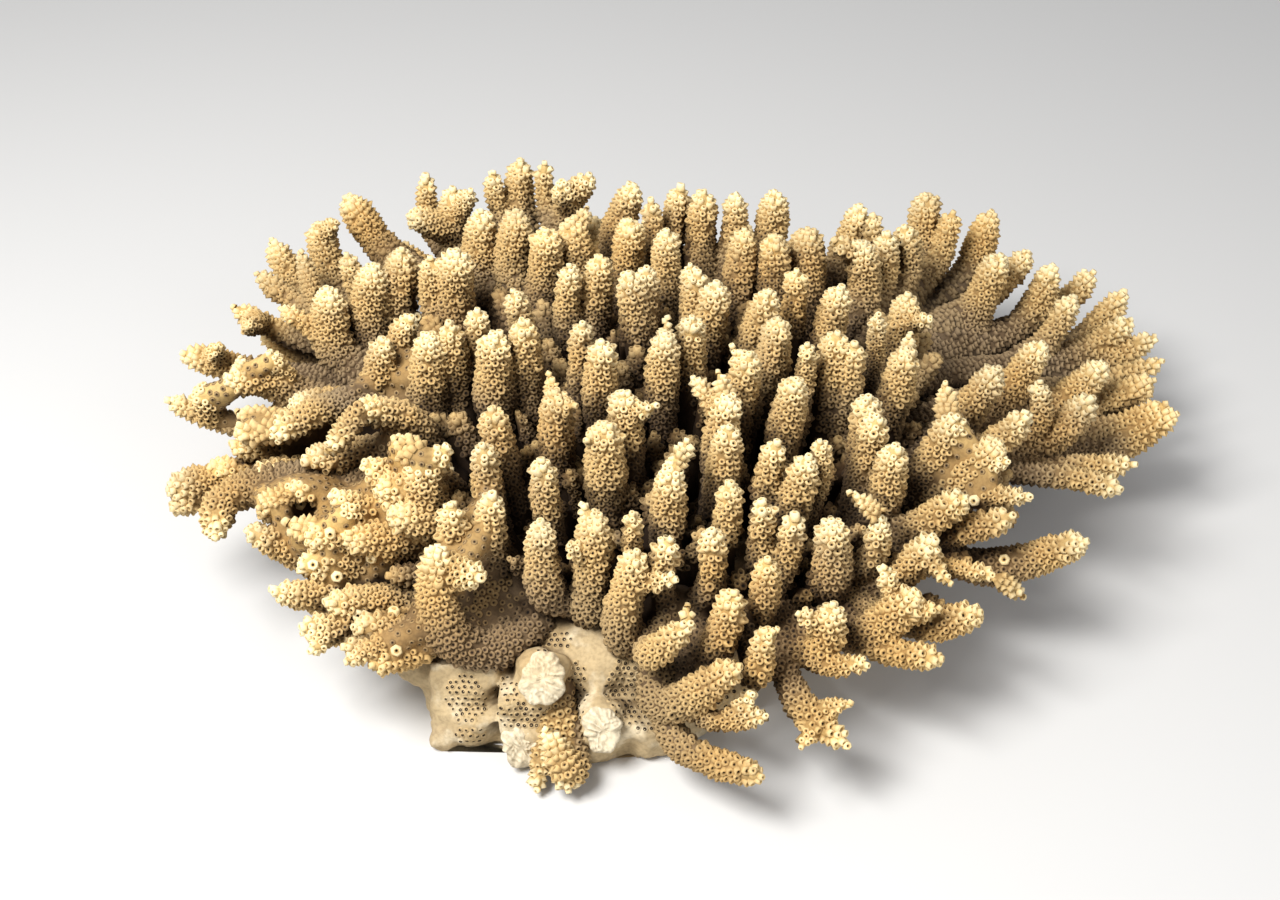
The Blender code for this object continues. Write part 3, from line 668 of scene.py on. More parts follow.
def make_core(name):
    """One branch's core: its fingers and foot fused."""
    lines = core_lines(name)
    tubes = [(points, radii) for points, _, radii, _ in lines]
    if name in WEBBED:
        tubes += web_ties(lines)
    piece = finger_curve(name + "_detail", tubes)
    fingers, middle = FINGERS[name]
    if len(fingers) > 1:
        roots = [places[-1] for places, _ in fingers if len(places) == FULL_PATH]
        spread = max((root - middle).length for root in roots) if roots else 0
        add_foot(piece, middle + Vector((0, 0, FOOT_LIFT)), max(FOOT_RADIUS, FOOT_SPREAD * spread))
    fuse(piece, CORE_SHARE)
    return piece, lines


cores = {name: make_core(name) for name in BRANCHES}
print("core faces:", sum(len(piece.data.polygons) for piece, _ in cores.values()))

# %% [markdown]
# The base is what the colony grew from: a low crust with a shelf round it, lumps on its front edge
# and a flat cut below. It starts as a filled ring of vertices at the cut, extruded level by level to
# its neck, shelf and disc. The lumps are ico spheres and the blocks are cubes, joined to it before
# one remesh fuses them all. Valleys are then pressed in between them.

# %% The base
BASE_MIDDLE = Vector((-6 * MM, -4 * MM, 0))
BEARINGS = 64
START_RADIUS = 50 * MM
DENT_AIM_Z = 20 * MM
CUT_REACH = (60, 61, 61, 59, 58, 56, 56, 56, 58, 67, 85, 75, 68, 57, 50, 54)
NECK_REACH = (70, 71, 71, 69, 68, 66, 66, 67, 70, 75, 87, 78, 71, 61, 57, 63)
SHELF_REACH = (87, 86, 84, 83, 82, 82, 84, 85, 86, 84, 79, 64, 57, 55, 64, 79)
BASE_LEVELS = (
    (CUT_REACH, 1.03, 3),
    (NECK_REACH, 1.0, 13),
    (SHELF_REACH, 0.97, -10),
    (SHELF_REACH, 1.0, -4),
    (SHELF_REACH, 0.93, -0.1),
    (SHELF_REACH, 0.62, -0.1),
    (SHELF_REACH, 0.3, -0.1),
)
BASE_LUMPS = {
    "left_flare": ((-72, -52, 19), (8, 8, 7)),
    "upper_stub": ((-38, -62, 25), (8, 7, 7)),
    "lower_stub": ((-21, -69, 13), (7, 7, 7)),
    "right_lobe": ((-7, -66, 5), (8, 7, 6)),
    "left_knob": ((-66, -66, 2), (4, 4, 5)),
    "notch_knob": ((-55, -66, 3), (3, 3, 4)),
    "middle_knob": ((-48, -68, 4), (4, 3, 5)),
    "front_knob": ((-40, -72, 4), (5, 4, 6)),
}
BASE_BLOCKS = {
    "left_block": ((-59, -58, 13), (9, 8, 14), -12),
    "middle_block": ((-42, -65, 10), (8, 8, 12), 8),
}
VALLEYS = (
    ((-52, -76, 0), (-51, -62, 20), 3.0, 9.0),
    ((-52, -72, 0), (-50, -58, 30), 4.5, 5.0),
    ((-31, -74, 4), (-28, -60, 34), 5.0, 4.0),
    ((-13, -76, 2), (-12, -62, 30), 4.0, 4.0),
    ((-62, -64, 26), (-46, -64, 27), 4.0, 2.5),
    ((6, -72, 6), (8, -60, 30), 5.0, 3.0),
)
BASE_VOXEL = 1.2 * MM
BASE_SHARE = 0.5
BLOCK_TILT = -0.15
CUT_HEIGHT = 0.02 * MM
ROUGH_SIZE, GRIT_SIZE, EDGE_SIZE = 8 * MM, 2.6 * MM, 5 * MM
ROUGH_LIFT, GRIT_LIFT = (1.1, 0.9), (0.4, 0.5)
SMOOTH_BELOW = 0.8 * MM


def reach_at(reaches, bearing):
    """A level's reach at one bearing, eased between its measured ones."""
    place = bearing / (2 * math.pi) * len(reaches)
    number = int(place)
    part = place - number
    eased = part * part * (3 - 2 * part)
    here = reaches[number % len(reaches)]
    after = reaches[(number + 1) % len(reaches)]
    return (here * (1 - eased) + after * eased) * MM


def shape_ring(mesh, reaches, share, height):
    """Moves the selected ring to one level of the base."""
    for vert in mesh.vertices:
        if not vert.select:
            continue
        bearing = math.atan2(vert.co.y - BASE_MIDDLE.y, vert.co.x - BASE_MIDDLE.x) % (2 * math.pi)
        out = share * reach_at(reaches, bearing)
        x = BASE_MIDDLE.x + math.cos(bearing) * out
        y = BASE_MIDDLE.y + math.sin(bearing) * out
        z = height * MM if height >= 0 else disc_height(x, y) + height * MM
        vert.co = (x, y, z)


def base_body():
    """The crust: a filled ring at the cut, extruded to each level in turn."""
    deselect()
    bpy.ops.mesh.primitive_circle_add(
        vertices=BEARINGS, radius=START_RADIUS, fill_type="NGON", location=BASE_MIDDLE
    )
    body = bpy.context.object
    bpy.ops.object.transform_apply()
    shape_ring(body.data, CUT_REACH, 1.0, 0)
    for reaches, share, height in BASE_LEVELS:
        bpy.ops.object.mode_set(mode="EDIT")
        bpy.ops.mesh.extrude_region_move(TRANSFORM_OT_translate={"value": (0, 0, 2 * MM)})
        bpy.ops.object.mode_set(mode="OBJECT")
        shape_ring(body.data, reaches, share, height)
    return body


def add_lump(middle, half):
    """One lump on the front of the base."""
    bpy.ops.mesh.primitive_ico_sphere_add(
        subdivisions=4, radius=1, location=Vector(middle) * MM, scale=Vector(half) * MM
    )
    bpy.ops.object.transform_apply()


def add_block(middle, half, turn):
    """One block on the front of the base, which the smoothing rounds off."""
    turned = (BLOCK_TILT, 0, math.radians(turn))
    bpy.ops.mesh.primitive_cube_add(
        size=2, location=Vector(middle) * MM, rotation=turned, scale=Vector(half) * MM
    )
    bpy.ops.object.transform_apply()


def cut_flat(piece, height):
    """Cuts the piece flat at one height and closes the cut."""
    only(piece)
    bpy.ops.object.mode_set(mode="EDIT")
    bpy.ops.mesh.select_all(action="SELECT")
    bpy.ops.mesh.bisect(plane_co=(0, 0, height), plane_no=(0, 0, 1), use_fill=True, clear_inner=True)
    bpy.ops.object.mode_set(mode="OBJECT")


def vertex_arrays(piece):
    """The piece's vertex places and normals."""
    count = len(piece.data.vertices)
    places = np.empty(count * 3)
    normals = np.empty(count * 3)
    piece.data.vertices.foreach_get("co", places)
    piece.data.vertices.foreach_get("normal", normals)
    return places.reshape(-1, 3), normals.reshape(-1, 3)


def dent(places, start, end, radius, depth):
    """Pushes the places near a line segment back towards the middle of the base."""
    start, end = np.array(start) * MM, np.array(end) * MM
    run = end - start
    share = np.clip((places - start) @ run / (run @ run), 0, 1)
    gap = np.linalg.norm(places - (start + share[:, None] * run), axis=1)
    push = depth * MM * np.exp(-((gap / (radius * MM)) ** 2))
    inward = np.array((BASE_MIDDLE.x, BASE_MIDDLE.y, DENT_AIM_Z)) - places
    inward /= np.linalg.norm(inward, axis=1)[:, None]
    return places + inward * push[:, None]


def roughen(piece):
    """Dents the valleys between the lumps and makes the crust a little uneven."""
    places, normals = vertex_arrays(piece)
    for start, end, radius, depth in VALLEYS:
        places = dent(places, start, end, radius, depth)
    rough = np.array([noise.fractal(Vector(place) / ROUGH_SIZE, 1.0, 2.0, 3) for place in places])
    grit = np.array([noise.noise(Vector(place) / GRIT_SIZE) for place in places])
    edge = np.exp(-places[:, 2] / EDGE_SIZE)
    lift = (ROUGH_LIFT[0] + ROUGH_LIFT[1] * edge) * rough + (GRIT_LIFT[0] + GRIT_LIFT[1] * edge) * grit
    lift = lift * MM * (places[:, 2] > SMOOTH_BELOW)
    piece.data.vertices.foreach_set("co", (places + normals * lift[:, None]).ravel())
    piece.data.update()


def make_base():
    """The base: body and lumps fused, roughened and cut flat."""
    body = base_body()
    body.name = "base_detail"
    adding = [(add_lump, values) for values in BASE_LUMPS.values()]
    adding += [(add_block, values) for values in BASE_BLOCKS.values()]
    for add, values in adding:
        add(*values)
        join_to(body)
    apply_modifier(body, "REMESH", mode="VOXEL", voxel_size=BASE_VOXEL)
    apply_modifier(body, "SMOOTH", factor=SMOOTHING, iterations=6)
    roughen(body)
    apply_modifier(body, "DECIMATE", ratio=BASE_SHARE)
    cut_flat(body, CUT_HEIGHT)
    return body


base = make_base()
print("base faces:", len(base.data.polygons))

# %% [markdown]
# Deep between the tall fingers stand younger, shorter ones, which the photograph shows only as dark
# knobby shapes. They rise from the base's disc wherever it would lie bare, lean outwards as their
# neighbours do, and end well below the crown.

# %% Young fingers in the gaps
GAP_STEP = 7.5 * MM
GAP_REACH = 5.6 * MM
GAP_SPAN = 0.34
GAP_PARTS = (0.55, 0.8, 1.0)
ROW_SHARE = 0.87
YOUNG_COUNT = 175
YOUNG_SHARE = 0.16
# Paleness of the young fingers, kept low: they are painted dark as shade deep in the thicket.
YOUNG_PALENESS = 0.2
YOUNG_HEIGHTS = (0.6, 0.78)
YOUNG_SHORTEST = 10 * MM
YOUNG_SHIFT = 12 * MM
YOUNG_FIELD = Vector((112 * MM, 92 * MM))
YOUNG_FIELD_Y = 14 * MM
YOUNG_FRONT = -44 * MM
YOUNG_BARE = (-78 * MM, 12 * MM)
YOUNG_LEAN = (0.9, 0.25)
YOUNG_SINK = 3 * MM
YOUNG_KINDS = (THIN, SLIM, SLIM)
# A share of the step along a row, and millimetres between rows
COLUMN_ASTRAY, ROW_ASTRAY = 0.3, 2


def young_fingers():
    """Lines for short fingers in the gaps of the thicket."""
    taken = np.vstack([line[0] for _, lines in cores.values() for line in lines])
    lines = []
    count = round(GAP_SPAN / GAP_STEP)
    for column in range(-count // 2, count // 2 + 1):
        for row in range(-count // 2, count // 2 + 1):
            x = (column + 0.5 * (row % 2) + either_way(COLUMN_ASTRAY)) * GAP_STEP
            y = row * GAP_STEP * ROW_SHARE + YOUNG_SHIFT + either_way(ROW_ASTRAY) * MM
            share = draw.uniform(*YOUNG_HEIGHTS)
            thickness = draw.choice(YOUNG_KINDS)
            out = math.hypot(x / YOUNG_FIELD.x, (y - YOUNG_FIELD_Y) / YOUNG_FIELD.y)
            if out > 1 or (y < YOUNG_FRONT and YOUNG_BARE[0] < x < YOUNG_BARE[1]):
                continue
            inner = YOUNG_LEAN[0] - YOUNG_LEAN[1] * out * out
            foot = Vector((x * inner, y * inner, disc_height(x * inner, y * inner) - YOUNG_SINK))
            tip = Vector((x, y, share * crown_height(x, y)))
            if tip.z - foot.z < YOUNG_SHORTEST:
                continue
            near = min(
                np.linalg.norm(taken - np.array(foot.lerp(tip, part)), axis=1).min()
                for part in GAP_PARTS
            )
            if near < GAP_REACH:
                continue
            points, along = smooth_line([tip, foot.lerp(tip, 0.5), foot])
            depth = along[1:]
            radii = core_radius(depth, depth[-1], thickness, x / MM)
            lines.append((points[1:], depth, radii, thickness))
            taken = np.vstack([taken, points])
    draw.shuffle(lines)
    return lines[:YOUNG_COUNT]


young_lines = young_fingers()
young = finger_curve("young_fingers", [(points, radii) for points, _, radii, _ in young_lines])
fuse(young, YOUNG_SHARE)
print("young fingers:", len(young_lines), "faces:", len(young.data.polygons))

# %% [markdown]
# How open each spot of the colony lies decides its colour: painted shade darkens the spots that lie
# deep between the fingers. The colony is marked in a grid of small cells. From every vertex short steps
# are taken towards all sides, and the share of directions that leave without meeting a marked cell is
# kept. It belongs to the place on the coral, so it holds from every side.

# %% How open each spot lies
CELL = 2.6 * MM
MARCH_FROM = 4.5 * MM
MARCH_TO = 48 * MM
MARCH_STEP = 2.4 * MM
DIRECTION_COUNT = 40
TABLE_BELOW = -0.5
# In millimetres off the skin
MARCH_LIFT = 1.5


def spread_directions(count):
    """Directions spread evenly over a sphere, on a spiral."""
    golden = math.pi * (3 - math.sqrt(5))
    number = np.arange(count)
    z = 1 - 2 * (number + 0.5) / count
    flat = np.sqrt(1 - z * z)
    return np.stack([flat * np.cos(golden * number), flat * np.sin(golden * number), z], axis=1)


def marked_cells(made):
    """A grid over the colony in which the cells that hold a vertex are marked."""
    spots = np.vstack([vertex_arrays(piece)[0] for piece in made])
    low = spots.min(axis=0) - MARCH_TO - CELL
    shape = ((spots.max(axis=0) + MARCH_TO + CELL - low) / CELL).astype(int) + 2
    grid = np.zeros(shape, dtype=bool)
    cells = ((spots - low) / CELL).astype(int)
    grid[cells[:, 0], cells[:, 1], cells[:, 2]] = True
    return grid, low


def openness(piece, grid, low):
    """For each vertex, the share of directions that leave the colony; those into the table don't."""
    places, normals = vertex_arrays(piece)
    clear = np.zeros(len(places))
    total = np.zeros(len(places))
    for direction in spread_directions(DIRECTION_COUNT):
        facing = np.clip(normals @ direction, 0, None)
        free = np.ones(len(places), dtype=bool)
        for reach in np.arange(MARCH_FROM, MARCH_TO, MARCH_STEP):
            cells = ((places + normals * MARCH_LIFT * MM + direction * reach - low) / CELL).astype(int)
            free &= ~grid[cells[:, 0], cells[:, 1], cells[:, 2]]
        total += facing
        if direction[2] > TABLE_BELOW:
            clear += facing * free
    return clear / np.maximum(total, 0.01)


GRID, GRID_LOW = marked_cells([base, young] + [piece for piece, _ in cores.values()])
OPEN = {name: openness(piece, GRID, GRID_LOW) for name, (piece, _) in cores.items()}
OPEN["base"] = openness(base, GRID, GRID_LOW)
OPEN["young"] = openness(young, GRID, GRID_LOW)
print("mean openness:", round(float(np.mean(np.concatenate(list(OPEN.values())))), 2))

# %% [markdown]
# The fingers are covered with cups, each the seat of one polyp: a short thick tube that leans
# towards the tip, its lower lip pushed out, with a dark hole in it. One cup of each kind is modelled
# from a ring of six vertices, extruded to its rim, over it and down the hole. Its kind lists these
# rings by radius and height, and how deep in the hole each counts for the finish. Tens of thousands
# of copies follow, so each has at most thirty triangles.

# %% Model one cup of each kind
CUP_SIDES = 6
CUP_KINDS = {
    "tip": ((1.02, -0.5), (0.86, 0.9), (0.43, 1.0), (0.0, 0.2)),
    "side": ((1.05, -0.4), (0.88, 0.95), (0.52, 0.95), (0.0, 0.0)),
    "low": ((1.05, -0.3), (0.68, 1.0), (0.0, 0.1)),
    "pit": ((1.3, -0.8), (0.7, 1.0), (0.52, 0.8), (0.0, -0.4)),
    "big": ((1.0, -0.9), (0.95, 0.8), (0.5, 1.0), (0.0, 0.2)),
}
LIP_SLANT = {"tip": 0.1, "side": 0.34, "low": 0.2, "pit": 0.0, "big": 0.1}
WALL_FROM, WALL_TOP, LIP_FROM = 0.8, 0.6, 0.2
# How deep each ring counts in the hole: the finish gives deeper rings the darker wall colour, and
# near-black painted shade at the bottom of the hole.
HOLE_DEPTH = {
    "tip": (0.3, 0.0, 0.14, 1.0),
    "side": (0.36, 0.0, 0.2, 1.0),
    "low": (0.4, 0.08, 1.0),
    "pit": (0.24, 0.2, 0.6, 1.0),
    "big": (0.3, 0.0, 0.1, 1.0),
}


def model_cup(kind):
    """A cup of radius 1 and height 1 round the Z axis, its tip side towards +X."""
    rings = CUP_KINDS[kind]
    deselect()
    bpy.ops.mesh.primitive_circle_add(vertices=CUP_SIDES, radius=rings[0][0], location=(0, 0, rings[0][1]))
    cup = bpy.context.object
    cup.name = "cup_" + kind
    bpy.ops.object.transform_apply()
    bpy.ops.object.mode_set(mode="EDIT")
    for (radius, height), (next_radius, next_height) in zip(rings, rings[1:]):
        rise = next_height - height
        bpy.ops.mesh.extrude_region_move(TRANSFORM_OT_translate={"value": (0, 0, rise)})
        if next_radius:
            share = next_radius / radius
            bpy.ops.transform.resize(value=(share, share, 1), center_override=(0, 0, next_height))
        else:
            bpy.ops.mesh.merge(type="CENTER")
    bpy.ops.mesh.select_all(action="SELECT")
    bpy.ops.mesh.normals_make_consistent(inside=False)
    bpy.ops.object.mode_set(mode="OBJECT")
    return cup


def cup_arrays(kind):
    """The modelled cup as arrays: places, triangles with outward faces, and depth into the hole."""
    cup = model_cup(kind)
    apply_modifier(cup, "TRIANGULATE")
    mesh = cup.data
    places = np.array([tuple(vert.co) for vert in mesh.vertices])
    faces = np.array([tuple(face.vertices) for face in mesh.polygons])
    rings = CUP_KINDS[kind]
    depth = np.zeros(len(places))
    for number, place in enumerate(places):
        radius = math.hypot(place[0], place[1])
        misses = [math.hypot(radius - ring[0], place[2] - ring[1]) for ring in rings]
        depth[number] = HOLE_DEPTH[kind][misses.index(min(misses))]
    outer = [face for face in mesh.polygons if face.center.xy.length > WALL_FROM]
    wall = next(face for face in outer if face.center.z < WALL_TOP)
    if wall.normal.xy.dot(wall.center.xy) < 0:
        faces = faces[:, ::-1]
    places[:, 2] -= LIP_SLANT[kind] * places[:, 0] * (places[:, 2] > LIP_FROM)
    bpy.data.objects.remove(cup)
    return places, faces, depth


CUPS = {kind: cup_arrays(kind) for kind in CUP_KINDS}
print("triangles in a cup:", {kind: len(faces) for kind, (_, faces, _) in CUPS.items()})

# %% [markdown]
# Each finger gets rows of cups from its tip down, every second row turned by half a cup, so that
# they pack like scales. A cup's place is snapped to the fused core: where two fingers meet, the
# places that fell inside the other finger are left out. Near the tip the cups stand tall and pale,
# and lower down they lie almost flush. Skin that is still bare, on webs and in forks, gets flush
# cups last.

# %% Where the cups stand
CUP_PITCH = 2.2 * MM
THIN_PITCH = 0.82
CLOSEST_CUPS = 0.68
SNAP_REACH = 1.3 * MM
HIDDEN_BELOW = 0.08
PLAIN_BELOW = 0.31
BARE_BELOW = 0.225
BARE_PITCH = 2.1 * MM
BARE_RADIUS, BARE_HEIGHT, BARE_PALENESS = 0.47, 0.4 * MM, 0.12
PALE_REACH = 10 * MM
TIP_REACH = 4 * MM
CROWDED_REACH = 5 * MM
CUP_RADIUS = 0.53
CUP_HEIGHT = (0.7, 1.35)
CUP_LEAN = (26, 24)
CUP_ASTRAY, CUP_ASTRAY_DEGREES = 0.12, 9
OUTWARD_SHARES = (0.45, 0.55)
LARGER_CUPS = (0.08, 1.2, 1.35)
MIDDLE_TINT = 0.5
SKIN_STEP = 0.2 * MM
FIRST_ROW = 0.95
FEWEST_CUPS = 4
FIRST_TURN = (0, 6)
ANGLE_ASTRAY, PLACE_ASTRAY = 0.14, 0.16
RADIUS_SPREAD, HEIGHT_SPREAD = (0.88, 1.12), (0.75, 1.25)
CROWDED_SHARE = 0.5
THIN_MORE = 0.15
START_SIDE = (0.31, 0.17, 0.94)


def length_one(vector):
    """The vector at unit length."""
    return vector / np.linalg.norm(vector)


def astray(reach):
    """A small drawn vector, within this reach on each axis."""
    return np.array([either_way(reach) for _ in range(3)])


def level_side(axis, rise=0.02):
    """A direction beside an axis, nearly level."""
    return np.array((axis[1], -axis[0], rise))


def finger_frames(points):
    """Directions down a line of points, with two side directions turned along it without twist."""
    down = np.gradient(points, axis=0)
    down /= np.linalg.norm(down, axis=1)[:, None]
    side = np.cross(down[0], START_SIDE)
    sides = []
    for direction in down:
        side = length_one(side - direction * side.dot(direction))
        sides.append(side)
    return down, np.array(sides)


def finger_spots(line):
    """Places for cups on one finger: (place, outward, towards the tip, distance from the tip)."""
    points, along, radii, thickness = line
    down, sides = finger_frames(points)
    fine = np.arange(0, along[-1], SKIN_STEP)
    fine_radii = np.interp(fine, along, radii)
    fine_radii[0] = 0
    skin = np.concatenate([[0], np.cumsum(np.hypot(np.diff(fine), np.diff(fine_radii)))])
    slope = np.gradient(fine_radii, fine)
    pitch = CUP_PITCH * (THIN_PITCH if thickness <= THIN else 1.0)
    spots = [(points[0], -down[0], down[0] * 0, 0.0)]
    row = pitch * FIRST_ROW
    turn = draw.uniform(*FIRST_TURN)
    while row < skin[-1]:
        distance = np.interp(row, skin, fine)
        radius = np.interp(distance, fine, fine_radii)
        steep = float(np.interp(distance, fine, slope))
        centre, downward, side = (at_distance(distance, along, rows) for rows in (points, down, sides))
        other = np.cross(downward, side)
        count = max(round(2 * math.pi * radius / pitch), FEWEST_CUPS)
        turn += math.pi / count
        for number in range(count):
            angle = turn + 2 * math.pi * (number + either_way(ANGLE_ASTRAY)) / count
            outward = side * math.cos(angle) + other * math.sin(angle)
            shift = either_way(PLACE_ASTRAY) * pitch
            place = centre + outward * radius + downward * shift
            normal = length_one(outward - downward * steep)
            towards_tip = length_one(-(downward + outward * steep))
            spots.append((place, normal, towards_tip, distance))
        row += pitch * ROW_SHARE
    return spots, pitch


def too_close(taken, place, cell, closest):
    """Whether a cup already stands closer than this, kept in a grid of cells."""
    key = tuple(int(math.floor(value / cell)) for value in place)
    for x in (-1, 0, 1):
        for y in (-1, 0, 1):
            for z in (-1, 0, 1):
                for other in taken.get((key[0] + x, key[1] + y, key[2] + z), ()):
                    if (other - place).dot(other - place) < closest * closest:
                        return True
    taken.setdefault(key, []).append(place)
    return False


def piece_tree(piece):
    """A tree of the piece's faces, for finding places on it."""
    places = [vert.co for vert in piece.data.vertices]
    return BVHTree.FromPolygons(places, [tuple(face.vertices) for face in piece.data.polygons])


def face_means(piece, values):
    """The mean of its vertices' values for each face."""
    return [float(np.mean([values[index] for index in face.vertices])) for face in piece.data.polygons]


def lean(outward, towards, degrees):
    """A cup's axis: leaned from outward towards a direction, a little astray."""
    tilt = math.radians(degrees + either_way(CUP_ASTRAY_DEGREES))
    axis = outward * math.cos(tilt) + towards * math.sin(tilt)
    return length_one(axis + astray(CUP_ASTRAY))


def bare_cups(piece, open_faces, taken):
    """Flush cups wherever the piece's skin is still bare: on webs, in forks and low down."""
    rows = []
    polygons = piece.data.polygons
    for index in draw.sample(range(len(polygons)), len(polygons)):
        open_here = open_faces[index]
        if open_here < BARE_BELOW:
            continue
        place = np.array(polygons[index].center)
        if too_close(taken, place, CUP_PITCH, BARE_PITCH):
            continue
        axis = np.array(polygons[index].normal)
        size = (BARE_RADIUS * BARE_PITCH, BARE_HEIGHT)
        rows.append((place, axis, level_side(axis), *size, BARE_PALENESS, open_here, MIDDLE_TINT))
    return rows


def finger_cups(piece, tree, lines, values, pale_by=1.0):
    """The cups on a piece's fingers by kind: one row of place, axis, tip side, size and finish each."""
    open_faces = face_means(piece, values)
    made = {kind: [] for kind in CUPS}
    taken = {}
    for line in lines:
        spots, pitch = finger_spots(line)
        thickness = line[3]
        tint = draw.random()
        for place, normal, towards_tip, distance in spots:
            snapped, skin_normal, index, _ = tree.find_nearest(Vector(place))
            snapped = np.array(snapped)
            open_here = open_faces[index]
            if np.linalg.norm(snapped - place) > SNAP_REACH or open_here < HIDDEN_BELOW:
                continue
            if too_close(taken, snapped, CUP_PITCH, CLOSEST_CUPS * pitch):
                continue
            outward = OUTWARD_SHARES[0] * normal + OUTWARD_SHARES[1] * np.array(skin_normal)
            upper = math.exp(-distance / PALE_REACH)
            axis = lean(length_one(outward), towards_tip, CUP_LEAN[0] + CUP_LEAN[1] * upper)
            radius = CUP_RADIUS * pitch * draw.uniform(*RADIUS_SPREAD)
            crowded = CROWDED_SHARE + (1 - CROWDED_SHARE) * min(1, distance / CROWDED_REACH)
            height = (CUP_HEIGHT[0] + CUP_HEIGHT[1] * upper) * crowded * MM * draw.uniform(*HEIGHT_SPREAD)
            height *= min(1, thickness / SLIM + THIN_MORE)
            if draw.random() < LARGER_CUPS[0]:
                radius *= LARGER_CUPS[1]
                height *= LARGER_CUPS[2]
            kind = "low" if open_here < PLAIN_BELOW else ("tip" if distance < TIP_REACH else "side")
            tip_side = towards_tip if distance else level_side(axis, 0.01)
            made[kind].append((snapped, axis, tip_side, radius, height, upper * pale_by, open_here, tint))
    made["low"] += bare_cups(piece, open_faces, taken)
    return made


TREES = {name: piece_tree(piece) for name, (piece, _) in cores.items()}
TREES["young"] = piece_tree(young)
TREES["base"] = piece_tree(base)
CUP_ROWS = {}
for name, (piece, lines) in cores.items():
    CUP_ROWS[name] = finger_cups(piece, TREES[name], lines, OPEN[name])
CUP_ROWS["young"] = finger_cups(young, TREES["young"], young_lines, OPEN["young"], YOUNG_PALENESS)
totals = {kind: sum(len(rows[kind]) for rows in CUP_ROWS.values()) for kind in CUPS}
print("cups:", totals, "triangles:", sum(totals[kind] * len(CUPS[kind][1]) for kind in CUPS))

# %% [markdown]
# The base has cups too, but sunk in: on the disc between the fingers they lie close together, and on
# its smooth front and flanks they are mere pits, gathered in fields. On the left, some cups grew far
# larger than the rest. Those that the photograph shows are set along the camera's lines of sight.

# %% Cups and pits on the base, and the large cups
DISC_PITCH = 2.7 * MM
PIT_PITCH = 2.2 * MM
SMOOTH_FRONT = -42 * MM
SMOOTH_FROM, SMOOTH_TO = -80 * MM, 12 * MM
SMOOTH_WAVE, SMOOTH_WAVE_REACH = 3 * MM, 7 * MM
DISC_SPAN = 0.2
DISC_ASTRAY, FIELD_ASTRAY = 0.15, 0.14
DISC_LEAST_RISE = 0.3
DISC_LEAST_OPEN, FLANK_LEAST_OPEN = 0.03, 0.05
DISC_CLOSEST, FLANK_CLOSEST, FIELD_CLOSEST = 0.8 * DISC_PITCH, 0.85 * PIT_PITCH, 0.5 * PIT_PITCH
DISC_CUP = (0.53 * DISC_PITCH, 0.55 * MM, 0.1)
FLANK_LEVELS = range(2, 15)
FLANK_BEARINGS = 260
FLANK_FROM = 0.15
FLANK_PATCH = 13 * MM
FLANK_LEAST_NOISE = -0.05
FLANK_PIT = (0.5 * PIT_PITCH, 0.32 * MM, 0.4)
FIELD_PIT = (0.43 * PIT_PITCH, 0.4 * MM, 0.45)
PIT_ASTRAY = 0.1
PIT_SPREAD = (0.75, 1.2)
PIT_FIELDS = (
    ((648, 690), (44, 42)),
    ((508, 690), (16, 12)),
    ((466, 698), (22, 24)),
    ((524, 714), (27, 15)),
    ((626, 706), (18, 12)),
    ((545, 640), (30, 12)),
    ((578, 690), (10, 30)),
    ((470, 735), (18, 8)),
)
PIT_FIELD_STEP = 6.4
PIT_FIELD_ROWS = range(-7, 8)
BIG_CUPS = (
    (313, 565), (336, 576), (357, 614), (394, 614), (396, 650), (414, 573), (330, 532), (372, 556),
    (415, 318), (300, 505), (448, 470), (600, 640), (975, 500), (1005, 560),
)
BIG_CUP = (1.75 * MM, 2.1 * MM, 0.9, 0.6, 0.4)
BIG_CLEARING = 2.3 * MM
BIG_LEAN = 0.5 * np.array((0, -0.7, 0.7))


def sight_hit(name, pixel):
    """Where the camera's line of sight through a pixel meets a piece, as its tree gives it."""
    return TREES[name].ray_cast(CAMERA_PLACE, pixel_direction(*pixel).normalized())


def base_row(hit, normal, index, open_faces, size, height, paleness):
    """One pit's row of place, axis, size and finish."""
    axis = length_one(np.array(normal) + astray(PIT_ASTRAY))
    radius = size * draw.uniform(*PIT_SPREAD)
    finish = (paleness, open_faces[index], MIDDLE_TINT)
    return (np.array(hit), axis, level_side(axis), radius, height, *finish)


def disc_cups(tree, open_faces, taken):
    """Close cups all over the disc, from straight rays down on it."""
    rows = []
    count = round(DISC_SPAN / DISC_PITCH)
    for column in range(-count // 2, count // 2):
        for row in range(-count // 2, count // 2):
            x = (column + 0.5 * (row % 2) + either_way(DISC_ASTRAY)) * DISC_PITCH
            y = (row * ROW_SHARE + either_way(DISC_ASTRAY)) * DISC_PITCH
            hit, normal, index, _ = tree.ray_cast(Vector((x, y, DISC_SPAN)), Vector((0, 0, -1)))
            if hit is None or normal.z < DISC_LEAST_RISE or open_faces[index] < DISC_LEAST_OPEN:
                continue
            front = SMOOTH_FRONT + SMOOTH_WAVE * math.sin(x / SMOOTH_WAVE_REACH)
            if y < front and SMOOTH_FROM < x < SMOOTH_TO:
                continue
            if not too_close(taken, np.array(hit), CUP_PITCH, DISC_CLOSEST):
                rows.append(base_row(hit, normal, index, open_faces, *DISC_CUP))
    return rows


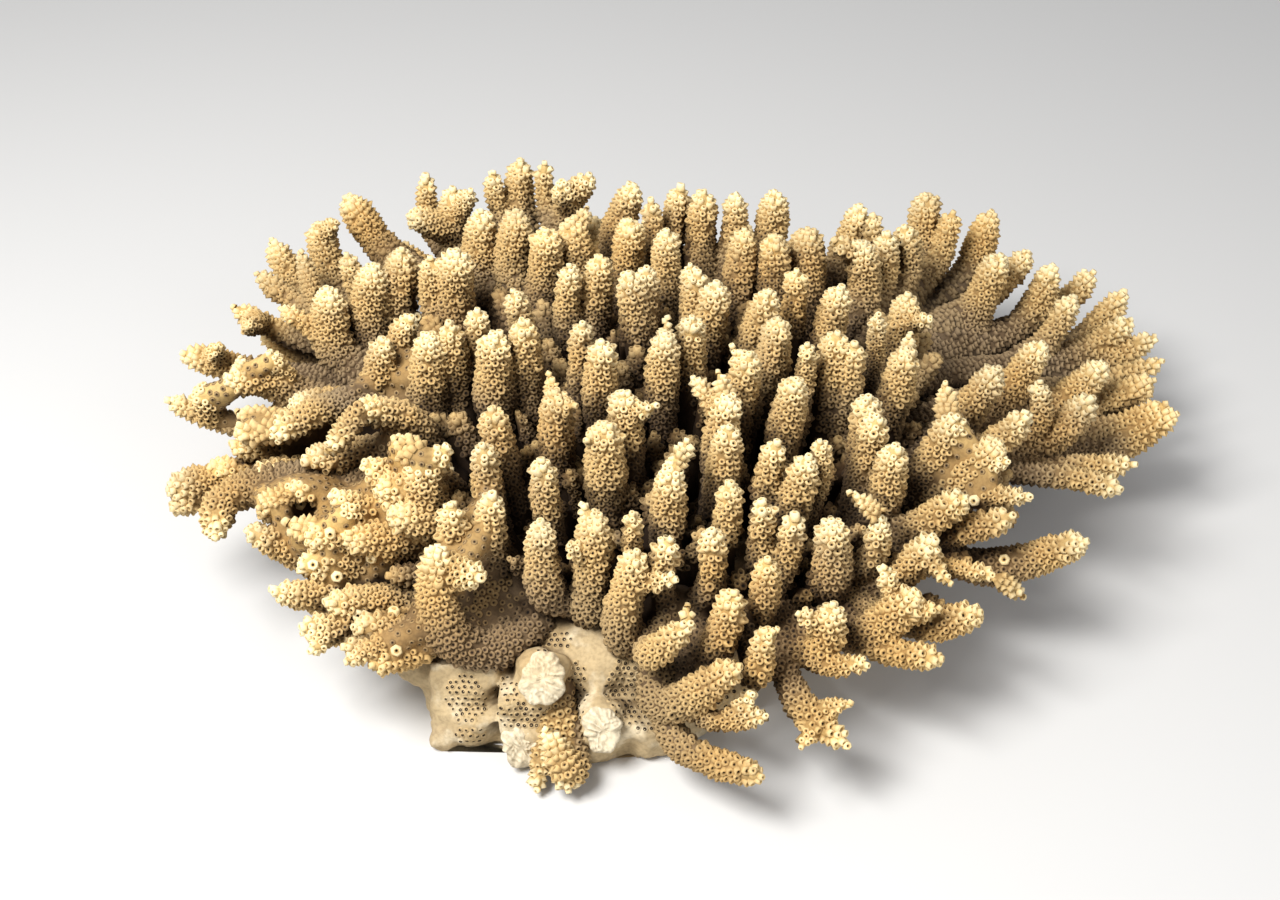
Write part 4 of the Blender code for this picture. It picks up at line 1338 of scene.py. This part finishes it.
def flank_pits(tree, open_faces, taken):
    """Pits in fields on the flanks, from level rays towards the middle."""
    rows = []
    for level in FLANK_LEVELS:
        height = level * PIT_PITCH
        for number in range(FLANK_BEARINGS):
            bearing = 2 * math.pi * (number + 0.5 * (level % 2)) / FLANK_BEARINGS
            out = Vector((math.cos(bearing), math.sin(bearing), 0))
            start = BASE_MIDDLE + out * FLANK_FROM + Vector((0, 0, height))
            hit, normal, index, _ = tree.ray_cast(start, -out)
            front = hit is not None and hit.y < SMOOTH_FRONT and SMOOTH_FROM < hit.x < SMOOTH_TO
            if hit is None or front or open_faces[index] < FLANK_LEAST_OPEN:
                continue
            if noise.noise(hit / FLANK_PATCH) < FLANK_LEAST_NOISE:
                continue
            if not too_close(taken, np.array(hit), CUP_PITCH, FLANK_CLOSEST):
                rows.append(base_row(hit, normal, index, open_faces, *FLANK_PIT))
    return rows


def field_pits(open_faces, taken):
    """Pits in the fields that the photograph shows on the front."""
    rows = []
    for middle, reach in PIT_FIELDS:
        for column in PIT_FIELD_ROWS:
            for row in PIT_FIELD_ROWS:
                across = (column + 0.5 * (row % 2) + either_way(FIELD_ASTRAY)) * PIT_FIELD_STEP
                down = (row * ROW_SHARE + either_way(FIELD_ASTRAY)) * PIT_FIELD_STEP
                if (across / reach[0]) ** 2 + (down / reach[1]) ** 2 > 1:
                    continue
                hit, normal, index, _ = sight_hit("base", (middle[0] + across, middle[1] + down))
                if hit is None or too_close(taken, np.array(hit), CUP_PITCH, FIELD_CLOSEST):
                    continue
                rows.append(base_row(hit, normal, index, open_faces, *FIELD_PIT))
    return rows


def set_big_cups():
    """The large cups of the photograph, each on the first branch that its line of sight meets."""
    for pixel in BIG_CUPS:
        hits = []
        for name in cores:
            hit, normal, _, distance = sight_hit(name, pixel)
            if hit is not None:
                hits.append((distance, name, hit, normal))
        if not hits:
            continue
        _, name, hit, normal = min(hits, key=lambda found: found[0])
        axis = length_one(np.array(normal) + BIG_LEAN)
        place = np.array(hit)
        for rows in CUP_ROWS[name].values():
            rows[:] = [row for row in rows if np.linalg.norm(row[0] - place) > BIG_CLEARING]
        CUP_ROWS[name]["big"].append((place, axis, level_side(axis), *BIG_CUP))


base_open = face_means(base, OPEN["base"])
base_taken = {}
base_pits = field_pits(base_open, base_taken)
base_pits += flank_pits(TREES["base"], base_open, base_taken)
CUP_ROWS["base"] = {"pit": base_pits, "low": disc_cups(TREES["base"], base_open, base_taken)}
set_big_cups()
print("on the base:", {kind: len(rows) for kind, rows in CUP_ROWS["base"].items()})

# %% [markdown]
# Two branches broke off at the front long ago, and one block is chipped. Each broken place is a
# rough whitish face with ridges that run out from one point. It starts as a filled circle, extruded
# and inset ring by ring. Its vertices are then raised in a low dome with the ridges on it, and its
# outline is made ragged.

# %% The broken stubs
STUBS = {
    "upper_stub": ((543, 679), 6.9, (0.12, -0.68, 0.72), (-0.35, 0.5)),
    "lower_stub": ((602, 729), 6.0, (0.1, -0.8, 0.6), (-0.1, 0.6)),
    "block_break": ((522, 744), 6.2, (0.05, -0.9, 0.4), (0.3, 0.9)),
}
STUB_SIDES = 96
STUB_RINGS = 10
STUB_DRUM, STUB_TOP, STUB_SINK = 5 * MM, 2 * MM, 4.2 * MM
STUB_DOME, STUB_ROUGHNESS, STUB_GRIT = 1.1 * MM, 1.1 * MM, 2.1 * MM
STUB_PALENESS, STUB_OPENNESS, STUB_TINT = 1.0, 0.6, 0.2
STUB_DEPTH, RIDGE_DEPTH, DEEPEST_DEPTH = 0.2, 0.22, 0.4
STUB_LOW_REACH = 0.9
RIDGE_RISE = 1.4
RIDGES = 24
RIDGE_HEIGHT = 0.34 * MM
RIDGE_WAVES = ((0.65, 1, 3), (0.45, 1.7, 5))


def finish_values(count, *values):
    """The finish of some vertices: paleness, openness, depth and tint."""
    mix = np.empty((count, 4))
    for column, value in enumerate(values):
        mix[:, column] = value
    return mix


def mesh_arrays(piece):
    """The piece's vertices and triangles as arrays."""
    apply_modifier(piece, "TRIANGULATE")
    mesh = piece.data
    places = np.empty(len(mesh.vertices) * 3)
    mesh.vertices.foreach_get("co", places)
    corners = np.empty(len(mesh.polygons) * 3, dtype=np.int64)
    mesh.polygons.foreach_get("vertices", corners)
    return places.reshape(-1, 3), corners.reshape(-1, 3)


def model_stub(radius):
    """A filled circle extruded to a short drum, its top inset ring by ring to one point."""
    deselect()
    bpy.ops.mesh.primitive_circle_add(vertices=STUB_SIDES, radius=radius, fill_type="NGON")
    stub = bpy.context.object
    bpy.ops.object.mode_set(mode="EDIT")
    bpy.ops.mesh.extrude_region_move(TRANSFORM_OT_translate={"value": (0, 0, STUB_DRUM)})
    for _ in range(STUB_RINGS - 1):
        bpy.ops.mesh.inset(thickness=radius / STUB_RINGS)
    bpy.ops.mesh.merge(type="CENTER")
    bpy.ops.object.mode_set(mode="OBJECT")
    return stub


def stub_arrays(pixel, radius, facing, start):
    """One stub on the base where its pixel's line of sight meets it, with its finish values."""
    hit = sight_hit("base", pixel)[0]
    stub = model_stub(radius * MM)
    places, faces = mesh_arrays(stub)
    bpy.data.objects.remove(stub)
    local = places / (radius * MM)
    bearing = np.arctan2(local[:, 1], local[:, 0])
    from_start = local[:, :2] - np.array(start)
    turn = np.arctan2(from_start[:, 1], from_start[:, 0])
    out = np.linalg.norm(from_start, axis=1)
    grit = np.array([noise.noise(Vector(place) / STUB_GRIT + Vector(pixel + (0,))) for place in places])
    ridge = sum(size * np.sin(share * RIDGES * turn + bend * grit) for size, share, bend in RIDGE_WAVES)
    ridge = ridge * np.clip(out * RIDGE_RISE, 0, 1)
    top = places[:, 2] > STUB_TOP
    ragged = 1 + 0.1 * np.sin(2 * bearing + radius) + 0.06 * np.sin(3 * bearing)
    ragged += 0.04 * np.sin(8 * bearing) + 0.07 * grit
    reach = np.linalg.norm(local[:, :2], axis=1)
    lift = STUB_DOME * (1 - reach**4) + RIDGE_HEIGHT * ridge + STUB_ROUGHNESS * grit
    places[:, 2] = places[:, 2] - STUB_SINK + lift * top
    places[:, :2] *= (ragged * np.where(top, 1, STUB_LOW_REACH))[:, None]
    normal = Vector(facing).normalized()
    side = normal.orthogonal().normalized()
    basis = np.array([tuple(side), tuple(normal.cross(side)), tuple(normal)])
    # Ridge troughs get a greater depth value, so the finish paints them in the darker wall colour, partly
    # as painted shade in the grooves.
    depth = np.clip(STUB_DEPTH - RIDGE_DEPTH * ridge, 0, DEEPEST_DEPTH)
    mix = finish_values(len(places), STUB_PALENESS, STUB_OPENNESS, depth, STUB_TINT)
    return places @ basis + np.array(hit), faces, mix


stub_parts = [stub_arrays(*values) for values in STUBS.values()]
print("stub triangles:", sum(len(faces) for _, faces, _ in stub_parts))

# %% [markdown]
# A branch's piece is one mesh: its fused core and all its cups, joined as arrays. Each vertex also
# carries four numbers for the finish: how pale it is from the tip down, how open its spot lies, how
# deep it lies in a cup's hole, and the tint of its finger.

# %% Join the cups to their branches
MIX = "coral_mix"
# Depth values for bare skin: a core's takes the darker wall colour, partly painted shade between the cups,
# just short of the hole's; the base's goes most of the way to it.
CORE_DEPTH = 0.42
BASE_DEPTH = 0.24
BASE_PALENESS = 0.5


def place_cups(kind, rows):
    """All the branch's cups of one kind as arrays of places, triangles and finish values."""
    model, faces, depth = CUPS[kind]
    at, axis, tip_side, radius, height, pale, open_here, tint = map(np.array, zip(*rows))
    tip_side = tip_side - axis * np.sum(tip_side * axis, axis=1)[:, None]
    tip_side /= np.linalg.norm(tip_side, axis=1)[:, None]
    across = np.cross(axis, tip_side)
    spots = (
        at[:, None, :]
        + tip_side[:, None, :] * (model[None, :, 0:1] * radius[:, None, None])
        + across[:, None, :] * (model[None, :, 1:2] * radius[:, None, None])
        + axis[:, None, :] * (model[None, :, 2:3] * height[:, None, None])
    )
    count = len(rows)
    steps = np.arange(count)[:, None, None] * len(model)
    pale, open_here, tint = (np.repeat(values, len(model)) for values in (pale, open_here, tint))
    mix = finish_values(count * len(model), pale, open_here, np.tile(depth, count), tint)
    return spots.reshape(-1, 3), (faces[None, :, :] + steps).reshape(-1, 3), mix


def core_paleness(lines, places):
    """Paleness of a core's vertices, from how far down the nearest finger they lie."""
    pale = np.zeros(len(places))
    nearest = np.full(len(places), 1.0)
    for points, along, _, _ in lines:
        gaps = np.linalg.norm(places[:, None, :] - points[None, :, :], axis=2)
        index = gaps.argmin(axis=1)
        gap = gaps.min(axis=1)
        closer = gap < nearest
        pale[closer] = np.exp(-along[index[closer]] / PALE_REACH)
        nearest[closer] = gap[closer]
    return pale


def fill_mesh(piece, places, faces, mix):
    """Gives the piece one new mesh from arrays, smooth, with the finish values on its vertices."""
    mesh = bpy.data.meshes.new(piece.name)
    mesh.vertices.add(len(places))
    mesh.vertices.foreach_set("co", places.ravel())
    mesh.loops.add(faces.size)
    mesh.loops.foreach_set("vertex_index", faces.ravel().astype(np.int32))
    mesh.polygons.add(len(faces))
    mesh.polygons.foreach_set("loop_start", np.arange(0, faces.size, 3, dtype=np.int32))
    mesh.update(calc_edges=True)
    mesh.polygons.foreach_set("use_smooth", np.ones(len(faces), dtype=bool))
    attribute = mesh.attributes.new(MIX, "FLOAT_COLOR", "POINT")
    attribute.data.foreach_set("color", mix.ravel())
    mesh.validate()
    old = piece.data
    piece.data = mesh
    bpy.data.meshes.remove(old)


def dress_piece(piece, rows_by_kind, mix, more=()):
    """Joins the piece's cups and further parts to its core, with the finish values on all."""
    places, faces = mesh_arrays(piece)
    parts = [(places, faces, mix), *more]
    for kind, rows in rows_by_kind.items():
        if rows:
            parts.append(place_cups(kind, rows))
    starts = np.cumsum([0] + [len(part[0]) for part in parts[:-1]])
    fill_mesh(
        piece,
        np.vstack([part[0] for part in parts]),
        np.vstack([part[1] + start for part, start in zip(parts, starts)]),
        np.vstack([part[2] for part in parts]),
    )
    return piece


def core_mix(values, paleness, depth):
    """The finish values of a core's vertices, of which the openness is known."""
    return finish_values(len(values), paleness, values, depth, MIDDLE_TINT)


finished = {}
for name, (piece, lines) in cores.items():
    paleness = core_paleness(lines, vertex_arrays(piece)[0])
    finished[name] = dress_piece(piece, CUP_ROWS[name], core_mix(OPEN[name], paleness, CORE_DEPTH))
paleness = core_paleness(young_lines, vertex_arrays(young)[0])
dress_piece(young, CUP_ROWS["young"], core_mix(OPEN["young"], YOUNG_PALENESS * paleness, CORE_DEPTH))
base_mix = core_mix(OPEN["base"], BASE_PALENESS, BASE_DEPTH)
finished["base"] = dress_piece(base, CUP_ROWS["base"], base_mix, stub_parts)
sizes = {name: len(piece.data.polygons) for name, piece in finished.items()}
print("largest piece:", max(sizes.values()), "triangles; young fingers:", len(young.data.polygons))
print("whole colony:", sum(sizes.values()) + len(young.data.polygons), "triangles")

# %% [markdown]
# Dry coral is matte. Rims run from brown over tan to cream the paler a spot is, walls the same way
# in darker colours, partly the coral's own tone and partly painted shade below and between the rims,
# and on the base chalk takes the place of cream. The depth value picks rim, wall or hole, and the hole
# is painted near black as shade. Openness then paints shade into the recesses, and noise on Object
# coordinates adds dust, golden patches and a fine grain in the bump.

# %% The coral's finish
CREAM = (0.93, 0.775, 0.455, 1)
TAN = (0.63, 0.435, 0.185, 1)
BROWN = (0.28, 0.195, 0.105, 1)
# Wall colours: the rims' colours darker, partly the coral's own tone and partly painted shade on the cups'
# sides and between them.
WALL_CREAM = (0.61, 0.42, 0.165, 1)
WALL_TAN = (0.34, 0.212, 0.08, 1)
WALL_BROWN = (0.115, 0.072, 0.036, 1)
CRUST_TAN = (0.39, 0.275, 0.13, 1)
CHALK = (0.74, 0.645, 0.46, 1)
CHALK_LOW = (0.55, 0.46, 0.31, 1)
GOLDEN = (1.0, 0.92, 0.78, 1)
# Near black: painted shade at the bottom of the cups' holes.
PAINTED_HOLE_SHADE = (0.020, 0.011, 0.006, 1)
DUST_GREY = (0.27, 0.21, 0.14, 1)
# Dark brown multiplied in: as painted shade where openness is low, and as a fine grain in the coral's
# tone.
PAINTED_SHADE_AND_GRAIN = (0.2, 0.16, 0.125, 1)
PALE_TO_MIDDLE, PALE_TO_TOP = (0.02, 0.26), (0.3, 0.85)
DEPTH_TO_WALL, DEPTH_TO_HOLE_SHADE = (0.04, 0.34), (0.44, 0.66)
# Openness below this range gets the full painted shade, and openness above it gets none.
OPEN_TO_LIGHT = (0.02, 0.4)
DUST_NOISE, FINE_NOISE, GOLDEN_NOISE, CHALK_NOISE = (38, 3), (900, 3), (20, 2), (110, 4)
DUST_SHARE, FINE_SHARE, TAN_SHARE = (0.48, 0.7, 0, 0.32), (0.35, 0.75, 0, 0.3), (0.5, 1.0, 0, 0.35)
GOLDEN_SHARE, CHALK_SHARE = (0.48, 0.62, 0, 0.8), (0.5, 0.66, 0, 0.55)
CORAL_GRAIN, CRUST_GRAIN = 1400, 700


class Nodes:
    """Short helpers for one material's nodes."""

    def __init__(self, name):
        self.material = bpy.data.materials.new(name)
        self.material.use_nodes = True
        self.tree = self.material.node_tree
        self.shader = self.tree.nodes["Principled BSDF"]

    def add(self, kind, **values):
        """One node with its settings."""
        node = self.tree.nodes.new(kind)
        for key, value in values.items():
            setattr(node, key, value)
        return node

    def link(self, start, end):
        """A link between two sockets."""
        self.tree.links.new(start, end)

    def ease(self, value, low, high, to_low=0.0, to_high=1.0):
        """Maps a value smoothly from one range to another."""
        node = self.add("ShaderNodeMapRange", interpolation_type="SMOOTHSTEP")
        self.link(value, node.inputs["Value"])
        node.inputs["From Min"].default_value = low
        node.inputs["From Max"].default_value = high
        node.inputs["To Min"].default_value = to_low
        node.inputs["To Max"].default_value = to_high
        return node.outputs["Result"]

    def mix(self, share, first, second, blend="MIX"):
        """Mixes two colours, each a value or a socket."""
        node = self.add("ShaderNodeMix", data_type="RGBA", blend_type=blend)
        sockets = [socket for socket in node.inputs if socket.enabled]
        for value, socket in zip((share, first, second), sockets):
            self.put(value, socket)
        return next(socket for socket in node.outputs if socket.enabled)

    def put(self, value, socket):
        """Links a socket or sets a value."""
        if isinstance(value, bpy.types.NodeSocket):
            self.link(value, socket)
        else:
            socket.default_value = value

    def noise(self, scale, detail=2.0):
        """Noise on Object coordinates, its features one over the scale in size."""
        place = self.add("ShaderNodeTexCoord")
        node = self.add("ShaderNodeTexNoise")
        node.inputs["Scale"].default_value = scale
        node.inputs["Detail"].default_value = detail
        self.link(place.outputs["Object"], node.inputs["Vector"])
        return node.outputs["Fac"]


def coral_finish(name, rims, walls, grain, chalky):
    """A finish of the dry coral, from three rim and three wall colours, low to pale."""
    nodes = Nodes(name)
    mix = nodes.add("ShaderNodeVertexColor", layer_name=MIX)
    parts = nodes.add("ShaderNodeSeparateColor")
    nodes.link(mix.outputs["Color"], parts.inputs["Color"])
    pale, open_here, depth = parts.outputs[0], parts.outputs[1], parts.outputs[2]
    tint = mix.outputs["Alpha"]
    broad = nodes.noise(*DUST_NOISE)
    fine = nodes.noise(*FINE_NOISE)
    to_middle = nodes.ease(pale, *PALE_TO_MIDDLE)
    to_top = nodes.ease(pale, *PALE_TO_TOP)
    rim = nodes.mix(to_top, nodes.mix(to_middle, rims[0], rims[1]), rims[2])
    wall = nodes.mix(to_top, nodes.mix(to_middle, walls[0], walls[1]), walls[2])
    # Partly painted shade: below the rims, the skin takes the darker wall colours.
    skin = nodes.mix(nodes.ease(depth, *DEPTH_TO_WALL), rim, wall)
    skin = nodes.mix(nodes.ease(broad, *DUST_SHARE), skin, DUST_GREY)
    skin = nodes.mix(nodes.ease(tint, *TAN_SHARE), skin, rims[1])
    golden = nodes.ease(nodes.noise(*GOLDEN_NOISE), *GOLDEN_SHARE)
    skin = nodes.mix(golden, skin, GOLDEN, "MULTIPLY")
    if chalky:
        skin = nodes.mix(nodes.ease(nodes.noise(*CHALK_NOISE), *CHALK_SHARE), skin, CHALK)
    skin = nodes.mix(nodes.ease(fine, *FINE_SHARE), skin, PAINTED_SHADE_AND_GRAIN, "MULTIPLY")
    # Painted shade: the bottoms of the holes are painted near black.
    skin = nodes.mix(nodes.ease(depth, *DEPTH_TO_HOLE_SHADE), skin, PAINTED_HOLE_SHADE)
    # Painted shade: where a spot lies little open, deep between fingers or low over the table, its colour
    # is multiplied dark.
    shaded = nodes.mix(1.0, skin, PAINTED_SHADE_AND_GRAIN, "MULTIPLY")
    colour = nodes.mix(nodes.ease(open_here, *OPEN_TO_LIGHT), shaded, skin)
    nodes.link(colour, nodes.shader.inputs["Base Color"])
    nodes.shader.inputs["Roughness"].default_value = 0.9
    nodes.shader.inputs["Specular IOR Level"].default_value = 0.25
    bump = nodes.add("ShaderNodeBump")
    bump.inputs["Strength"].default_value = 0.5
    bump.inputs["Distance"].default_value = 0.25 * MM
    nodes.link(nodes.noise(grain, 3), bump.inputs["Height"])
    nodes.link(bump.outputs["Normal"], nodes.shader.inputs["Normal"])
    return nodes.material


def finish_piece(piece, material, *cad_nodes):
    """The piece's material, body, slot and the nodes that it stands for."""
    piece.data.materials.clear()
    piece.data.materials.append(material)
    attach(piece, "root")
    if cad_nodes:
        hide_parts(*cad_nodes)


# The wall colours, crust tan and low chalk among them, are darker partly as painted shade below and
# between the rims.
CORAL_RIMS, CORAL_WALLS = (BROWN, TAN, CREAM), (WALL_BROWN, WALL_TAN, WALL_CREAM)
CRUST_RIMS, CRUST_WALLS = (BROWN, TAN, CHALK), (WALL_BROWN, CRUST_TAN, CHALK_LOW)
coral_stone = coral_finish("coral_stone_detail", CORAL_RIMS, CORAL_WALLS, CORAL_GRAIN, False)
crust_stone = coral_finish("crust_detail", CRUST_RIMS, CRUST_WALLS, CRUST_GRAIN, True)
for name, piece in finished.items():
    finish_piece(piece, crust_stone if name == "base" else coral_stone, name)
finish_piece(young, coral_stone)
print("finished pieces:", len(finished) + 1)

# %% [markdown]
# The scene round it is plain: a pale floor, one broad soft lamp from the upper left in front, as in
# the photograph, a weaker one from the right, and an even pale world.

# %% Floor, lamps and world
FLOOR_SIZE = 4
FLOOR_COLOUR = (0.6, 0.59, 0.57, 1)
WORLD_COLOUR = (0.9, 0.93, 1.0, 1)
WORLD_STRENGTH = 0.36
LAMPS = {
    "key_lamp": ((-0.35, -0.3, 0.75), 0.35, 12),
    "fill_lamp": ((0.7, -0.5, 0.5), 0.8, 2.5),
}
LAMP_AIM = (0, 0, 0.04)
bpy.context.scene.view_settings.view_transform = "Standard"


def add_floor():
    """The plain pale floor under the cut."""
    deselect()
    bpy.ops.mesh.primitive_plane_add(size=FLOOR_SIZE)
    floor = bpy.context.object
    floor.name = "floor"
    nodes = Nodes("floor_paint")
    nodes.shader.inputs["Base Color"].default_value = FLOOR_COLOUR
    nodes.shader.inputs["Roughness"].default_value = 0.8
    floor.data.materials.append(nodes.material)


def add_lamp(name, place, size, power):
    """A soft square lamp turned towards the colony."""
    deselect()
    turn = (Vector(LAMP_AIM) - Vector(place)).to_track_quat("-Z", "Y").to_euler()
    bpy.ops.object.light_add(type="AREA", location=place, rotation=turn)
    lamp = bpy.context.object
    lamp.name = name
    lamp.data.size = size
    lamp.data.energy = power


add_floor()
for name, values in LAMPS.items():
    add_lamp(name, *values)
world = bpy.data.worlds.new("studio")
bpy.context.scene.world = world
world.use_nodes = True
world.node_tree.nodes["Background"].inputs["Color"].default_value = WORLD_COLOUR
world.node_tree.nodes["Background"].inputs["Strength"].default_value = WORLD_STRENGTH
